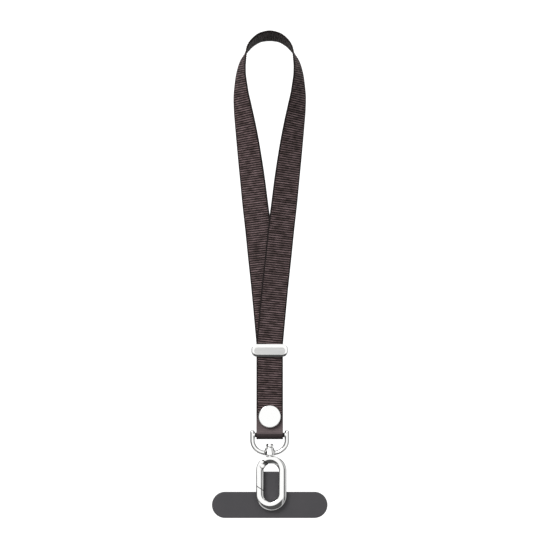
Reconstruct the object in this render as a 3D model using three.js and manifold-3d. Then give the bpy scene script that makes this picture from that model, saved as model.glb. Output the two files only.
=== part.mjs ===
// A wrist strap for a phone: one strip of ribbed webbing in a loop, a slide keeper, a rivet,
// a D-ring with a swivel, an oval clip with a spring gate, and a flat tab for the phone's case.
// Millimetres, +Z up, +X to the right, the front of the strap towards -Y.
// The origin is where the loop hangs: the middle of the webbing's underside at its crest.

import * as THREE from "three";
import { mergeVertices } from "three/addons/utils/BufferGeometryUtils.js";
import Module from "manifold-3d";

const wasm = await Module();
wasm.setup();

// Clearances
const GAP = 0.3; // between pieces that touch on the real strap
const RUNNING_GAP = 0.2; // all round a shaft that turns
const FIXED_GAP = 0.12; // all round a shaft that is pressed in

// Webbing
const STRAP_WIDTH = 15;
const STRAP_THICKNESS = 1.1;
const SELVEDGE = 0.3; // chamfer along both edges of the webbing
const LOOP_DROP = 174.3; // crest to keeper, along the middle of the webbing
const LOOP_HALF_WIDTH = 16.4; // to the middle of the webbing where the loop is widest
const FOLD_FLARE = 5; // height over which the layers spread to pass round the bar
const BACK_END_ABOVE_RIVET = 7.9;
const MIDDLE_END_ABOVE_BAR = 4.2;

// Keeper
const KEEPER_WIDTH = 20.6;
const KEEPER_HEIGHT = 7.2;
const KEEPER_WALL = 1.3; // front and back
const KEEPER_CORNER = 1.6;
const KEEPER_BEVEL = 0.9;

// Rivet
const CAP_DIAMETER = 13;
const CAP_RIM = 0.6;
const CAP_DOME = 1.4;
const RIVET_POST_DIAMETER = 3;
const RIVET_BACK_DIAMETER = 9;
const RIVET_BACK_THICKNESS = 1.8;
const RIVET_SOCKET = 1.1;
const KEEPER_TO_RIVET = 33.7; // lower edge of the keeper to the middle of the rivet
const RIVET_TO_BAR = 10.7;

// D-ring
const BAR_DIAMETER = 2.6;
const RING_WIRE = 2.6;
const RING_INNER_WIDTH = 16.9;
const RING_DROP = 10.1; // bar to the middle of the bow's wire
const RING_CORNER = 7.25; // along the middle of the wire
const RING_SHOULDER = 1.5; // the legs' straight wire above the bar
const BOSS_HEIGHT = 4.5;
const BOSS_TOP_DIAMETER = 4.2;
const BOSS_DIAMETER = 7;

// Swivel
const SWIVEL_DIAMETER = 2;
const SWIVEL_HEAD_DIAMETER = 4.2;
const SWIVEL_HEAD_HEIGHT = 1.8;
const SWIVEL_IN_CLIP = 2.9;

// Clip and its gate
const CLIP_WIDTH = 17.3;
const CLIP_OFFSET = 0.9; // of the oval to the right of its swivel
const CLIP_HEIGHT = 31;
const CLIP_SIDE_WALL = 4.35;
const CLIP_TOP_WALL = 4.6;
const CLIP_BOTTOM_WALL = 5;
const CLIP_DEPTH = 4;
const CLIP_BEVEL = 1;
const COLLAR_DIAMETER = 3.8;
const COLLAR_HEIGHT = 1.2;
const HINGE_BELOW_TOP = 5.7;
const HINGE_FROM_SIDE = 3.5;
const HINGE_TO_CUT = 3.2; // pin to the clip's end, square to it
const HINGE_SLIT = 0.6;
const CUT_TURN = 36; // degrees, the fall of both cuts towards the opening
const NOSE_BELOW_TOP = 16.9; // along the clip's outer side
const NOSE_SLIT = 0.4;
const NOSE_TONGUE = 1.2; // of the clip's end inside the gate's nose
const NOSE_TONGUE_REACH = 1.4;
const GATE_SWING = 28; // degrees inwards
const PIN_DIAMETER = 2.4;
const LUG_THICKNESS = 1.4;
const LUG_DIAMETER = 4.2;

// Tab
const PAD_WIDTH = 65.6;
const PAD_HEIGHT = 14.9;
const PAD_BELOW_CLIP = 4.7;
const TAB_THICKNESS = 1;
const TAB_RIM = 0.25;
const TONGUE_WIDTH = 12;
const TONGUE_RISE = 11.5;
const TONGUE_CORNER = 1.5;
const TONGUE_FILLET = 2;
const TAB_PIN_DIAMETER = 2.2;
const TAB_PIN_IN_CLIP = 2.2;
const TAB_PIN_HEAD_DIAMETER = 5;
const TAB_PIN_HEAD = 0.8;

// Facets
const LOOP_STEPS = 104;
const FLARE_STEPS = 5;
const FOLD_STEPS = 12;
const ROUND = 48; // sides of the rivet's cap
const SMALL_ROUND = 24; // sides of pins and holes
const WIRE_SIDES = 16;
const RING_STEPS = 56; // along the D-ring's wire
const ARC_STEPS = 14; // half a turn of the clip's and the tab's outlines
const SWING_STEPS = 4;

// The loop from its crest to the keeper. A row gives the drop below the crest as a share of
// LOOP_DROP, the spread of the webbing's middle as a share of LOOP_HALF_WIDTH, the lean of the
// webbing in degrees (0 edge on to the front, -90 flat to the front), and how far the right and
// the left side stand towards the back, as shares of one layer of webbing with its gap.
const LOOP = [
  { drop: 0, spread: 0, lean: 14.5, right: 0, left: 0 },
  { drop: 0.004, spread: 0.276, lean: 12.5, right: 0, left: 0 },
  { drop: 0.022, spread: 0.586, lean: 7.5, right: -0.02, left: -0.02 },
  { drop: 0.04, spread: 0.741, lean: 3, right: -0.05, left: -0.05 },
  { drop: 0.057, spread: 0.828, lean: -4, right: -0.08, left: -0.08 },
  { drop: 0.079, spread: 0.914, lean: -12.3, right: -0.12, left: -0.12 },
  { drop: 0.105, spread: 0.972, lean: -18, right: -0.18, left: -0.15 },
  { drop: 0.137, spread: 1, lean: -24.2, right: -0.25, left: -0.18 },
  { drop: 0.183, spread: 0.99, lean: -33.8, right: -0.4, left: -0.2 },
  { drop: 0.235, spread: 0.929, lean: -43.2, right: -0.55, left: -0.18 },
  { drop: 0.287, spread: 0.847, lean: -50.5, right: -0.7, left: -0.1 },
  { drop: 0.338, spread: 0.769, lean: -57, right: -0.85, left: 0 },
  { drop: 0.403, spread: 0.679, lean: -64, right: -1.02, left: 0.15 },
  { drop: 0.468, spread: 0.593, lean: -70, right: -1.2, left: 0.3 },
  { drop: 0.546, spread: 0.5, lean: -76, right: -1.35, left: 0.45 },
  { drop: 0.624, spread: 0.4, lean: -80.5, right: -1.42, left: 0.45 },
  { drop: 0.715, spread: 0.298, lean: -84.5, right: -1.35, left: 0.35 },
  { drop: 0.806, spread: 0.193, lean: -87, right: -1.2, left: 0.2 },
  { drop: 0.897, spread: 0.1, lean: -89, right: -1.06, left: 0.06 },
  { drop: 1, spread: 0, lean: -90, right: -1, left: 0 },
];

// Sizes and places that follow
const LAYER = STRAP_THICKNESS + GAP;
const STACK_FACE = LAYER + STRAP_THICKNESS / 2; // middle layer to the outer faces of the stack
const FOLD_RADIUS = BAR_DIAMETER / 2 + GAP + STRAP_THICKNESS / 2;
const CREST_Z = STRAP_THICKNESS / 2;
const KEEPER_TOP_Z = CREST_Z - LOOP_DROP;
const KEEPER_BOTTOM_Z = KEEPER_TOP_Z - KEEPER_HEIGHT;
const RIVET_Z = KEEPER_BOTTOM_Z - KEEPER_TO_RIVET;
const BAR_Z = RIVET_Z - RIVET_TO_BAR;
const BOW_Z = BAR_Z - RING_DROP;
const RING_BOTTOM_Z = BOW_Z - RING_WIRE / 2;
const CLIP_TOP_Z = RING_BOTTOM_Z - GAP;
const CLIP_BOTTOM_Z = CLIP_TOP_Z - CLIP_HEIGHT;
const CLIP_LEFT_X = CLIP_OFFSET - CLIP_WIDTH / 2;
const HINGE_X = CLIP_LEFT_X + HINGE_FROM_SIDE;
const HINGE_Z = CLIP_TOP_Z - HINGE_BELOW_TOP;
const PAD_BOTTOM_Z = CLIP_BOTTOM_Z - PAD_BELOW_CLIP;
const TAB_FRONT_Y = CLIP_DEPTH / 2 + GAP;
const TAB_BACK_Y = TAB_FRONT_Y + TAB_THICKNESS;
const TAB_PIN_Z = CLIP_BOTTOM_Z + CLIP_BOTTOM_WALL / 2;

const radians = THREE.MathUtils.degToRad;

// Solids and meshes

function solidOf(geometry) {
  const bare = new THREE.BufferGeometry();
  const loose = geometry.index ? geometry.toNonIndexed() : geometry;
  bare.setAttribute("position", loose.getAttribute("position").clone());
  const merged = mergeVertices(bare, 1e-4);
  return new wasm.Manifold(
    new wasm.Mesh({
      numProp: 3,
      vertProperties: new Float32Array(merged.attributes.position.array),
      triVerts: new Uint32Array(merged.index.array),
    }),
  );
}

function meshOf(name, solid, material) {
  const whole = solid.getMesh();
  const geometry = new THREE.BufferGeometry();
  geometry.setAttribute("position", new THREE.BufferAttribute(whole.vertProperties, 3));
  geometry.setIndex(new THREE.BufferAttribute(whole.triVerts, 1));
  geometry.computeVertexNormals();
  const mesh = new THREE.Mesh(geometry, material);
  mesh.name = name;
  return mesh;
}

// A turned solid from rows of radius and height, standing along Z or lying along Y.
function turned(profile, sides, place, lying) {
  const points = profile.map(([radius, along]) => new THREE.Vector2(radius, along));
  const geometry = new THREE.LatheGeometry(points, sides);
  if (!lying) geometry.rotateX(Math.PI / 2);
  geometry.translate(place.x, place.y, place.z);
  return solidOf(geometry);
}

function rodProfile(diameter, from, to) {
  return [
    [0, from],
    [diameter / 2, from],
    [diameter / 2, to],
    [0, to],
  ];
}

// A round rod from front to back at a place seen from the front.
function rodAcross(diameter, front, back, x, z) {
  const place = new THREE.Vector3(x, 0, z);
  return turned(rodProfile(diameter, front, back), SMALL_ROUND, place, true);
}

// A round rod on the Z axis.
function rodUpright(diameter, bottom, top) {
  return turned(rodProfile(diameter, bottom, top), SMALL_ROUND, new THREE.Vector3(), false);
}

// A flat plate seen from the front, between two distances to the back, with bevelled edges.
function plate(shape, front, back, bevel = 0) {
  const geometry = new THREE.ExtrudeGeometry(shape, {
    depth: back - front - 2 * bevel,
    bevelEnabled: bevel > 0,
    bevelThickness: bevel,
    bevelSize: bevel,
    bevelOffset: -bevel,
    bevelSegments: 1,
    curveSegments: ARC_STEPS,
  });
  geometry.rotateX(Math.PI / 2);
  geometry.translate(0, back - bevel, 0);
  return solidOf(geometry);
}

// The outline of an upright pill whose two ends are half circles.
function uprightPill(path, halfWidth, bottom, top) {
  path.moveTo(halfWidth, bottom + halfWidth);
  path.lineTo(halfWidth, top - halfWidth);
  path.absarc(0, top - halfWidth, halfWidth, 0, Math.PI, false);
  path.lineTo(-halfWidth, bottom + halfWidth);
  path.absarc(0, bottom + halfWidth, halfWidth, Math.PI, 2 * Math.PI, false);
  return path;
}

// A closed solid through a row of sections that have as many points each.
function lofted(sections) {
  const size = sections[0].length;
  const points = sections.flat();
  const faces = [];
  for (let s = 0; s + 1 < sections.length; s++) {
    for (let i = 0; i < size; i++) {
      const a = s * size + i;
      const b = s * size + ((i + 1) % size);
      faces.push(a, b, b + size, a, b + size, a + size);
    }
  }
  const last = (sections.length - 1) * size;
  for (let i = 1; i + 1 < size; i++) {
    faces.push(0, i + 1, i, last, last + i, last + i + 1);
  }
  const geometry = new THREE.BufferGeometry().setFromPoints(points);
  geometry.setIndex(faces);
  return solidOf(geometry);
}

// Webbing

// A smooth value through the rows' values that never overshoots them.
function smoothThrough(keys, values) {
  const rise = values.slice(1).map((v, i) => (v - values[i]) / (keys[i + 1] - keys[i]));
  const slope = values.map((_, i) => {
    const before = rise[i - 1];
    const after = rise[i];
    if (before === undefined || after === undefined) return before ?? after;
    return before * after <= 0 ? 0 : (2 * before * after) / (before + after);
  });
  return (key) => {
    let i = keys.findIndex((k) => k > key) - 1;
    if (i < 0) i = keys.length - 2;
    const span = keys[i + 1] - keys[i];
    const t = (key - keys[i]) / span;
    const back = 1 - t;
    return (
      (1 + 2 * t) * back * back * values[i] +
      t * back * back * span * slope[i] +
      t * t * (3 - 2 * t) * values[i + 1] -
      t * t * back * span * slope[i + 1]
    );
  };
}

// Stations round the loop, up the right side, over the crest and down the left side. Each has
// the webbing's middle, the way across it towards its front edge, and the way out of its face.
function loopStations() {
  const side = (sign, depth) => (row) => ({
    x: sign * row.spread * LOOP_HALF_WIDTH,
    y: row[depth] * LAYER,
    z: CREST_Z - row.drop * LOOP_DROP,
    lean: row.lean,
  });
  const rows = [
    ...LOOP.map(side(1, "right")).reverse(),
    ...LOOP.slice(1).map(side(-1, "left")),
  ];
  const keys = [0];
  for (let i = 1; i < rows.length; i++) {
    keys.push(keys[i - 1] + Math.hypot(rows[i].x - rows[i - 1].x, rows[i].z - rows[i - 1].z));
  }
  const along = {};
  for (const column of ["x", "y", "z", "lean"]) {
    along[column] = smoothThrough(
      keys,
      rows.map((row) => row[column]),
    );
  }
  const half = keys[keys.length - 1] / 2;
  const reach = STRAP_THICKNESS / 2; // either way along the webbing, for its direction
  const stations = [];
  for (let i = 0; i <= LOOP_STEPS; i++) {
    const fromCrest = (2 * i) / LOOP_STEPS - 1;
    const key = half * (1 + Math.sign(fromCrest) * Math.abs(fromCrest) ** 1.35);
    const low = Math.max(key - reach, 0);
    const high = Math.min(key + reach, 2 * half);
    const run = new THREE.Vector3(
      along.x(high) - along.x(low),
      0,
      along.z(high) - along.z(low),
    ).normalize();
    const outwards = new THREE.Vector3(run.z, 0, -run.x);
    const lean = radians(along.lean(key));
    const across = outwards.multiplyScalar(Math.sin(lean)).setY(-Math.cos(lean));
    stations.push({
      middle: new THREE.Vector3(along.x(key), along.y(key), along.z(key)),
      across,
      out: new THREE.Vector3().crossVectors(run, across).normalize(),
    });
  }
  return stations;
}

function flatStation(y, z, out, across) {
  return {
    middle: new THREE.Vector3(0, y, z),
    across: new THREE.Vector3(across, 0, 0),
    out,
  };
}

// The strip from its end behind the rivet, round the D-ring's bar, round the loop and back
// down to its end between the other two layers.
function strapStations() {
  const front = new THREE.Vector3(0, -1, 0);
  const back = new THREE.Vector3(0, 1, 0);
  const spread = (share) => THREE.MathUtils.lerp(
    FOLD_RADIUS, LAYER, THREE.MathUtils.smoothstep(share, 0, 1),
  );
  const flare = [];
  for (let i = 1; i <= FLARE_STEPS; i++) {
    const share = i / FLARE_STEPS;
    flare.push({ y: spread(share), z: BAR_Z + share * FOLD_FLARE });
  }
  const fold = [];
  for (let i = 0; i <= FOLD_STEPS; i++) {
    const turn = (Math.PI * i) / FOLD_STEPS;
    const out = new THREE.Vector3(0, Math.cos(turn), -Math.sin(turn));
    fold.push({
      middle: out.clone().multiplyScalar(FOLD_RADIUS).setZ(BAR_Z - FOLD_RADIUS * Math.sin(turn)),
      across: new THREE.Vector3(-1, 0, 0),
      out,
    });
  }
  return [
    flatStation(LAYER, RIVET_Z + BACK_END_ABOVE_RIVET, back, -1),
    ...flare.toReversed().map(({ y, z }) => flatStation(y, z, back, -1)),
    ...fold,
    ...flare.map(({ y, z }) => flatStation(-y, z, front, -1)),
    ...loopStations(),
    flatStation(0, BAR_Z + MIDDLE_END_ABOVE_BAR, front, 1),
  ];
}

// The webbing's section at a station: a flat strip with chamfered edges.
function strapSection({ middle, across, out }) {
  const edge = STRAP_WIDTH / 2;
  const face = STRAP_THICKNESS / 2;
  const corners = [
    [edge, face - SELVEDGE],
    [edge - SELVEDGE, face],
    [SELVEDGE - edge, face],
    [-edge, face - SELVEDGE],
    [-edge, SELVEDGE - face],
    [SELVEDGE - edge, -face],
    [edge - SELVEDGE, -face],
    [edge, SELVEDGE - face],
  ];
  return corners.map(([a, o]) =>
    middle.clone().addScaledVector(across, a).addScaledVector(out, o),
  );
}

function makeStrap() {
  const strip = lofted(strapStations().map(strapSection));
  const hole = RIVET_POST_DIAMETER + 2 * RUNNING_GAP;
  const reach = STACK_FACE + GAP;
  return strip.subtract(rodAcross(hole, -reach, reach, 0, RIVET_Z));
}

// A bevelled sleeve with a slot for two layers of webbing.
function makeKeeper() {
  const slotWidth = STRAP_WIDTH + 2 * GAP;
  const slotFront = -STACK_FACE - GAP;
  const slotBack = STRAP_THICKNESS / 2 + GAP;
  const front = slotFront - KEEPER_WALL;
  const back = slotBack + KEEPER_WALL;
  const x = KEEPER_WIDTH / 2;
  const c = KEEPER_CORNER;
  const outline = new THREE.Shape();
  outline.moveTo(-x + c, -back);
  outline.lineTo(x - c, -back);
  outline.absarc(x - c, -back + c, c, -Math.PI / 2, 0, false);
  outline.lineTo(x, -front - c);
  outline.absarc(x - c, -front - c, c, 0, Math.PI / 2, false);
  outline.lineTo(-x + c, -front);
  outline.absarc(-x + c, -front - c, c, Math.PI / 2, Math.PI, false);
  outline.lineTo(-x, -back + c);
  outline.absarc(-x + c, -back + c, c, Math.PI, Math.PI * 1.5, false);
  const sleeve = new THREE.ExtrudeGeometry(outline, {
    depth: KEEPER_HEIGHT - 2 * KEEPER_BEVEL,
    bevelThickness: KEEPER_BEVEL,
    bevelSize: KEEPER_BEVEL,
    bevelOffset: -KEEPER_BEVEL,
    bevelSegments: 2,
    curveSegments: 6,
  });
  sleeve.rotateX(Math.PI);
  sleeve.translate(0, 0, KEEPER_TOP_Z - KEEPER_BEVEL);
  const slot = new THREE.BoxGeometry(slotWidth, slotBack - slotFront, 2 * KEEPER_HEIGHT);
  slot.translate(0, (slotFront + slotBack) / 2, KEEPER_TOP_Z - KEEPER_HEIGHT / 2);
  return solidOf(sleeve).subtract(solidOf(slot));
}

// The rivet's domed cap with its post, and the flat back that holds the post's end.
function makeRivetCap() {
  const base = -STACK_FACE - GAP;
  const rim = base - CAP_RIM;
  const r = CAP_DIAMETER / 2;
  const dome = [0.97, 0.86, 0.66, 0.4];
  const profile = [
    [0, rim - CAP_DOME],
    ...dome.toReversed().map((share) => [r * share, rim - CAP_DOME * (1 - share ** 4)]),
    [r, rim],
    [r, base],
    [RIVET_POST_DIAMETER / 2, base],
    [RIVET_POST_DIAMETER / 2, STACK_FACE + GAP + RIVET_SOCKET - GAP],
    [0, STACK_FACE + GAP + RIVET_SOCKET - GAP],
  ];
  return turned(profile, ROUND, new THREE.Vector3(0, 0, RIVET_Z), true);
}

function makeRivetBack() {
  const front = STACK_FACE + GAP;
  const back = front + RIVET_BACK_THICKNESS;
  const r = RIVET_BACK_DIAMETER / 2;
  const socket = RIVET_POST_DIAMETER / 2 + FIXED_GAP;
  const profile = [
    [0, front + RIVET_SOCKET],
    [socket, front + RIVET_SOCKET],
    [socket, front],
    [r, front],
    [r, back - CAP_RIM],
    [r - CAP_RIM, back],
    [0, back],
  ];
  return turned(profile, ROUND, new THREE.Vector3(0, 0, RIVET_Z), true);
}

// D-ring and swivel

// A flat outline in the plane of the D-ring, as a line in space.
class FrontLine extends THREE.Curve {
  constructor(outline) {
    super();
    this.outline = outline;
  }

  getPoint(t, target = new THREE.Vector3()) {
    const { x, y } = this.outline.getPointAt(t);
    return target.set(x, 0, y);
  }
}

function makeDRing() {
  const x = RING_INNER_WIDTH / 2 + RING_WIRE / 2;
  const top = BAR_Z + RING_SHOULDER;
  const cornerX = x - RING_CORNER;
  const cornerZ = BOW_Z + RING_CORNER;
  const outline = new THREE.Path();
  outline.moveTo(-x, top);
  outline.lineTo(-x, cornerZ);
  outline.absarc(-cornerX, cornerZ, RING_CORNER, Math.PI, Math.PI * 1.5, false);
  outline.lineTo(cornerX, BOW_Z);
  outline.absarc(cornerX, cornerZ, RING_CORNER, Math.PI * 1.5, Math.PI * 2, false);
  outline.lineTo(x, top);
  const section = new THREE.Shape().absarc(0, 0, RING_WIRE / 2, 0, Math.PI * 2);
  const wire = new THREE.ExtrudeGeometry(section, {
    steps: RING_STEPS,
    extrudePath: new FrontLine(outline),
    curveSegments: WIRE_SIDES / 2,
  });
  const bar = new THREE.CylinderGeometry(BAR_DIAMETER / 2, BAR_DIAMETER / 2, 2 * x, SMALL_ROUND);
  bar.rotateZ(Math.PI / 2);
  bar.translate(0, 0, BAR_Z);
  const knobs = [-x, x].map((side) => {
    const knob = new THREE.SphereGeometry(RING_WIRE / 2, WIRE_SIDES, 8);
    knob.rotateX(Math.PI / 2);
    knob.translate(side, 0, top);
    return solidOf(knob);
  });
  const boss = turned(
    [
      [0, RING_BOTTOM_Z],
      [BOSS_DIAMETER / 2, RING_BOTTOM_Z],
      [BOSS_DIAMETER / 2, RING_BOTTOM_Z + BOSS_HEIGHT * 0.3],
      [BOSS_TOP_DIAMETER / 2, RING_BOTTOM_Z + BOSS_HEIGHT],
      [0, RING_BOTTOM_Z + BOSS_HEIGHT],
    ],
    SMALL_ROUND,
    new THREE.Vector3(),
    false,
  );
  const bore = rodUpright(
    SWIVEL_DIAMETER + 2 * RUNNING_GAP,
    RING_BOTTOM_Z - 1,
    RING_BOTTOM_Z + BOSS_HEIGHT + 1,
  );
  return [solidOf(bar), ...knobs, boss]
    .reduce((whole, next) => whole.add(next), solidOf(wire))
    .subtract(bore);
}

function makeSwivel() {
  const underHead = RING_BOTTOM_Z + BOSS_HEIGHT + RUNNING_GAP;
  const top = underHead + SWIVEL_HEAD_HEIGHT;
  const r = SWIVEL_HEAD_DIAMETER / 2;
  const shank = SWIVEL_DIAMETER / 2;
  const bottom = CLIP_TOP_Z - SWIVEL_IN_CLIP;
  return turned(
    [
      [0, bottom],
      [shank, bottom],
      [shank, underHead],
      [r, underHead],
      [r, top - SWIVEL_HEAD_HEIGHT * 0.45],
      [r * 0.75, top],
      [0, top],
    ],
    SMALL_ROUND,
    new THREE.Vector3(),
    false,
  );
}

// Clip and gate

// The whole oval before it is cut: an oval wire with bevelled edges.
function wholeOval() {
  const outline = uprightPill(new THREE.Shape(), CLIP_WIDTH / 2, CLIP_BOTTOM_Z, CLIP_TOP_Z);
  const opening = uprightPill(
    new THREE.Path(),
    CLIP_WIDTH / 2 - CLIP_SIDE_WALL,
    CLIP_BOTTOM_Z + CLIP_BOTTOM_WALL,
    CLIP_TOP_Z - CLIP_TOP_WALL,
  );
  outline.holes.push(opening);
  const oval = plate(outline, -CLIP_DEPTH / 2, CLIP_DEPTH / 2, CLIP_BEVEL);
  return oval.translate([CLIP_OFFSET, 0, 0]);
}

// The part of the plane that the gate fills, from the cut at its hinge to the cut at its nose,
// drawn back from each by a clearance. The corner of a gate that swings is cut back towards
// the pin as well, so that it turns past the clip's end.
function gateRegion(hingeBack, noseBack, swings) {
  const fall = radians(CUT_TURN);
  const alongCut = new THREE.Vector2(Math.cos(fall), -Math.sin(fall));
  const upCut = new THREE.Vector2(Math.sin(fall), Math.cos(fall));
  const past = CLIP_WIDTH / 2; // enough to cut right through the wire
  const pin = new THREE.Vector2(HINGE_X, HINGE_Z);
  const hinge = pin.clone().addScaledVector(upCut, HINGE_TO_CUT - hingeBack);
  const nose = new THREE.Vector2(CLIP_LEFT_X, CLIP_TOP_Z - NOSE_BELOW_TOP);
  nose.addScaledVector(upCut, noseBack);
  const points = [
    hinge.clone().addScaledVector(alongCut, -past),
    nose.clone().addScaledVector(alongCut, -past / 2),
    nose.clone().addScaledVector(alongCut, past),
  ];
  if (!swings) {
    points.push(hinge.clone().addScaledVector(alongCut, past));
    return new THREE.Shape(points);
  }
  const clear = HINGE_TO_CUT - GAP / 3;
  for (let i = 0; i <= SWING_STEPS; i++) {
    const turn = Math.PI / 2 - fall - radians(GATE_SWING) * (1 - i / SWING_STEPS);
    const edge = new THREE.Vector2(Math.cos(turn), Math.sin(turn));
    const corner = pin.clone();
    corner.addScaledVector(edge, Math.min(clear, (HINGE_TO_CUT - hingeBack) / edge.dot(upCut)));
    if (i === 0) {
      const down = new THREE.Vector2(edge.y, -edge.x);
      points.push(corner.clone().addScaledVector(down, past / 2));
    }
    points.push(corner);
  }
  return new THREE.Shape(points);
}

// The lug of the clip that the gate's two cheeks stand astride, round the pin. Its neck runs out
// to the clip's left side.
function lug(diameter, thickness) {
  const round = rodAcross(diameter, -thickness / 2, thickness / 2, HINGE_X, HINGE_Z);
  const fall = radians(CUT_TURN);
  const neck = new THREE.BoxGeometry(diameter / 2 + CLIP_WIDTH / 2, thickness, 2 * HINGE_TO_CUT);
  neck.translate(diameter / 4 - CLIP_WIDTH / 4, 0, HINGE_TO_CUT);
  neck.rotateY(fall);
  neck.translate(HINGE_X, 0, HINGE_Z);
  return round.add(solidOf(neck));
}

// The tongue of the clip's lower end that keeps the closed gate in line.
function noseTongue(thickness, reach) {
  const tongue = new THREE.BoxGeometry(CLIP_WIDTH, thickness, 2 * reach);
  tongue.rotateY(radians(CUT_TURN));
  tongue.translate(CLIP_LEFT_X, 0, CLIP_TOP_Z - NOSE_BELOW_TOP);
  return solidOf(tongue);
}

function makeClipBody() {
  const reach = CLIP_DEPTH;
  const collar = rodUpright(COLLAR_DIAMETER, CLIP_TOP_Z - COLLAR_HEIGHT, CLIP_TOP_Z);
  const swivelHole = rodUpright(
    SWIVEL_DIAMETER + 2 * FIXED_GAP,
    CLIP_TOP_Z - SWIVEL_IN_CLIP - GAP,
    CLIP_TOP_Z + 1,
  );
  const pinHole = rodAcross(PIN_DIAMETER + 2 * FIXED_GAP, -reach, reach, HINGE_X, HINGE_Z);
  const tabHole = rodAcross(
    TAB_PIN_DIAMETER + 2 * FIXED_GAP,
    CLIP_DEPTH / 2 - TAB_PIN_IN_CLIP - GAP,
    reach,
    0,
    TAB_PIN_Z,
  );
  const oval = wholeOval();
  const insideGate = lug(LUG_DIAMETER, LUG_THICKNESS).add(
    noseTongue(NOSE_TONGUE, NOSE_TONGUE_REACH),
  );
  return oval
    .subtract(plate(gateRegion(0, 0, false), -reach, reach))
    .add(oval.intersect(insideGate))
    .add(collar)
    .subtract(swivelHole)
    .subtract(pinHole)
    .subtract(tabHole);
}

function makeGate() {
  const reach = CLIP_DEPTH;
  const pinHole = rodAcross(PIN_DIAMETER + 2 * RUNNING_GAP, -reach, reach, HINGE_X, HINGE_Z);
  return wholeOval()
    .intersect(plate(gateRegion(HINGE_SLIT, NOSE_SLIT, true), -reach, reach))
    .subtract(lug(LUG_DIAMETER + 2 * GAP, LUG_THICKNESS + 2 * GAP))
    .subtract(noseTongue(NOSE_TONGUE + 2 * GAP, NOSE_TONGUE_REACH + GAP))
    .subtract(pinHole);
}

function makeGatePin() {
  return rodAcross(PIN_DIAMETER, -CLIP_DEPTH / 2, CLIP_DEPTH / 2, HINGE_X, HINGE_Z);
}

// Tab

function tabOutline() {
  const padTop = PAD_BOTTOM_Z + PAD_HEIGHT;
  const top = padTop + TONGUE_RISE;
  const r = PAD_HEIGHT / 2;
  const x = PAD_WIDTH / 2 - r;
  const z = PAD_BOTTOM_Z + r;
  const side = TONGUE_WIDTH / 2;
  const c = TONGUE_CORNER;
  const f = TONGUE_FILLET;
  const outline = new THREE.Shape();
  outline.moveTo(-x, PAD_BOTTOM_Z);
  outline.lineTo(x, PAD_BOTTOM_Z);
  outline.absarc(x, z, r, -Math.PI / 2, Math.PI / 2, false);
  outline.lineTo(side + f, padTop);
  outline.absarc(side + f, padTop + f, f, Math.PI * 1.5, Math.PI, true);
  outline.lineTo(side, top - c);
  outline.absarc(side - c, top - c, c, 0, Math.PI / 2, false);
  outline.lineTo(c - side, top);
  outline.absarc(c - side, top - c, c, Math.PI / 2, Math.PI, false);
  outline.lineTo(-side, padTop + f);
  outline.absarc(-side - f, padTop + f, f, 0, -Math.PI / 2, true);
  outline.lineTo(-x, padTop);
  outline.absarc(-x, z, r, Math.PI / 2, Math.PI * 1.5, false);
  return outline;
}

function makeTab() {
  const hole = TAB_PIN_DIAMETER + 2 * FIXED_GAP;
  return plate(tabOutline(), TAB_FRONT_Y, TAB_BACK_Y, TAB_RIM).subtract(
    rodAcross(hole, TAB_FRONT_Y - 1, TAB_BACK_Y + 1, 0, TAB_PIN_Z),
  );
}

// The hidden pin that holds the tab against the back of the clip.
function makeTabPin() {
  const head = TAB_BACK_Y + GAP;
  const end = CLIP_DEPTH / 2 - TAB_PIN_IN_CLIP;
  const shank = rodAcross(TAB_PIN_DIAMETER, end, head + TAB_PIN_HEAD / 2, 0, TAB_PIN_Z);
  const disc = rodAcross(TAB_PIN_HEAD_DIAMETER, head, head + TAB_PIN_HEAD, 0, TAB_PIN_Z);
  return shank.add(disc);
}

// The whole strap

const webbing = new THREE.MeshStandardMaterial({ color: 0x4d4544, roughness: 0.85, metalness: 0 });
const plated = new THREE.MeshStandardMaterial({ color: 0xd8d8d6, roughness: 0.15, metalness: 1 });
const plastic = new THREE.MeshStandardMaterial({ color: 0x4a494b, roughness: 0.6, metalness: 0 });

const strapWithRivet = new THREE.Group();
strapWithRivet.add(
  meshOf("strap", makeStrap(), webbing),
  meshOf("rivet_cap", makeRivetCap(), plated),
  meshOf("rivet_back", makeRivetBack(), plated),
);

const clip = new THREE.Group();
clip.add(
  meshOf("swivel_post", makeSwivel(), plated),
  meshOf("clip_body", makeClipBody(), plated),
  meshOf("gate", makeGate(), plated),
  meshOf("gate_pin", makeGatePin(), plated),
  meshOf("tether_tab", makeTab(), plastic),
  meshOf("tab_pin", makeTabPin(), plated),
);

const phoneStrap = new THREE.Group();
phoneStrap.add(
  strapWithRivet,
  meshOf("keeper", makeKeeper(), plated),
  meshOf("d_ring", makeDRing(), plated),
  clip,
);

export default phoneStrap;
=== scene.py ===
# %% [markdown]
# # A phone wrist strap
# A loop of ribbed webbing runs through a metal keeper and folds round the bar of a D-ring,
# where one rivet holds its three layers. A swivel joins the D-ring to an oval spring-gate clip,
# and a flat T-shaped tab, which sits inside a phone's case, is held behind the clip.
# Each piece below is made as a mesh in the frame of the solids it stands for.

# %% Load the frame
import math

import bmesh
import bpy
import numpy as np
from mathutils import Matrix, Vector


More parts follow.
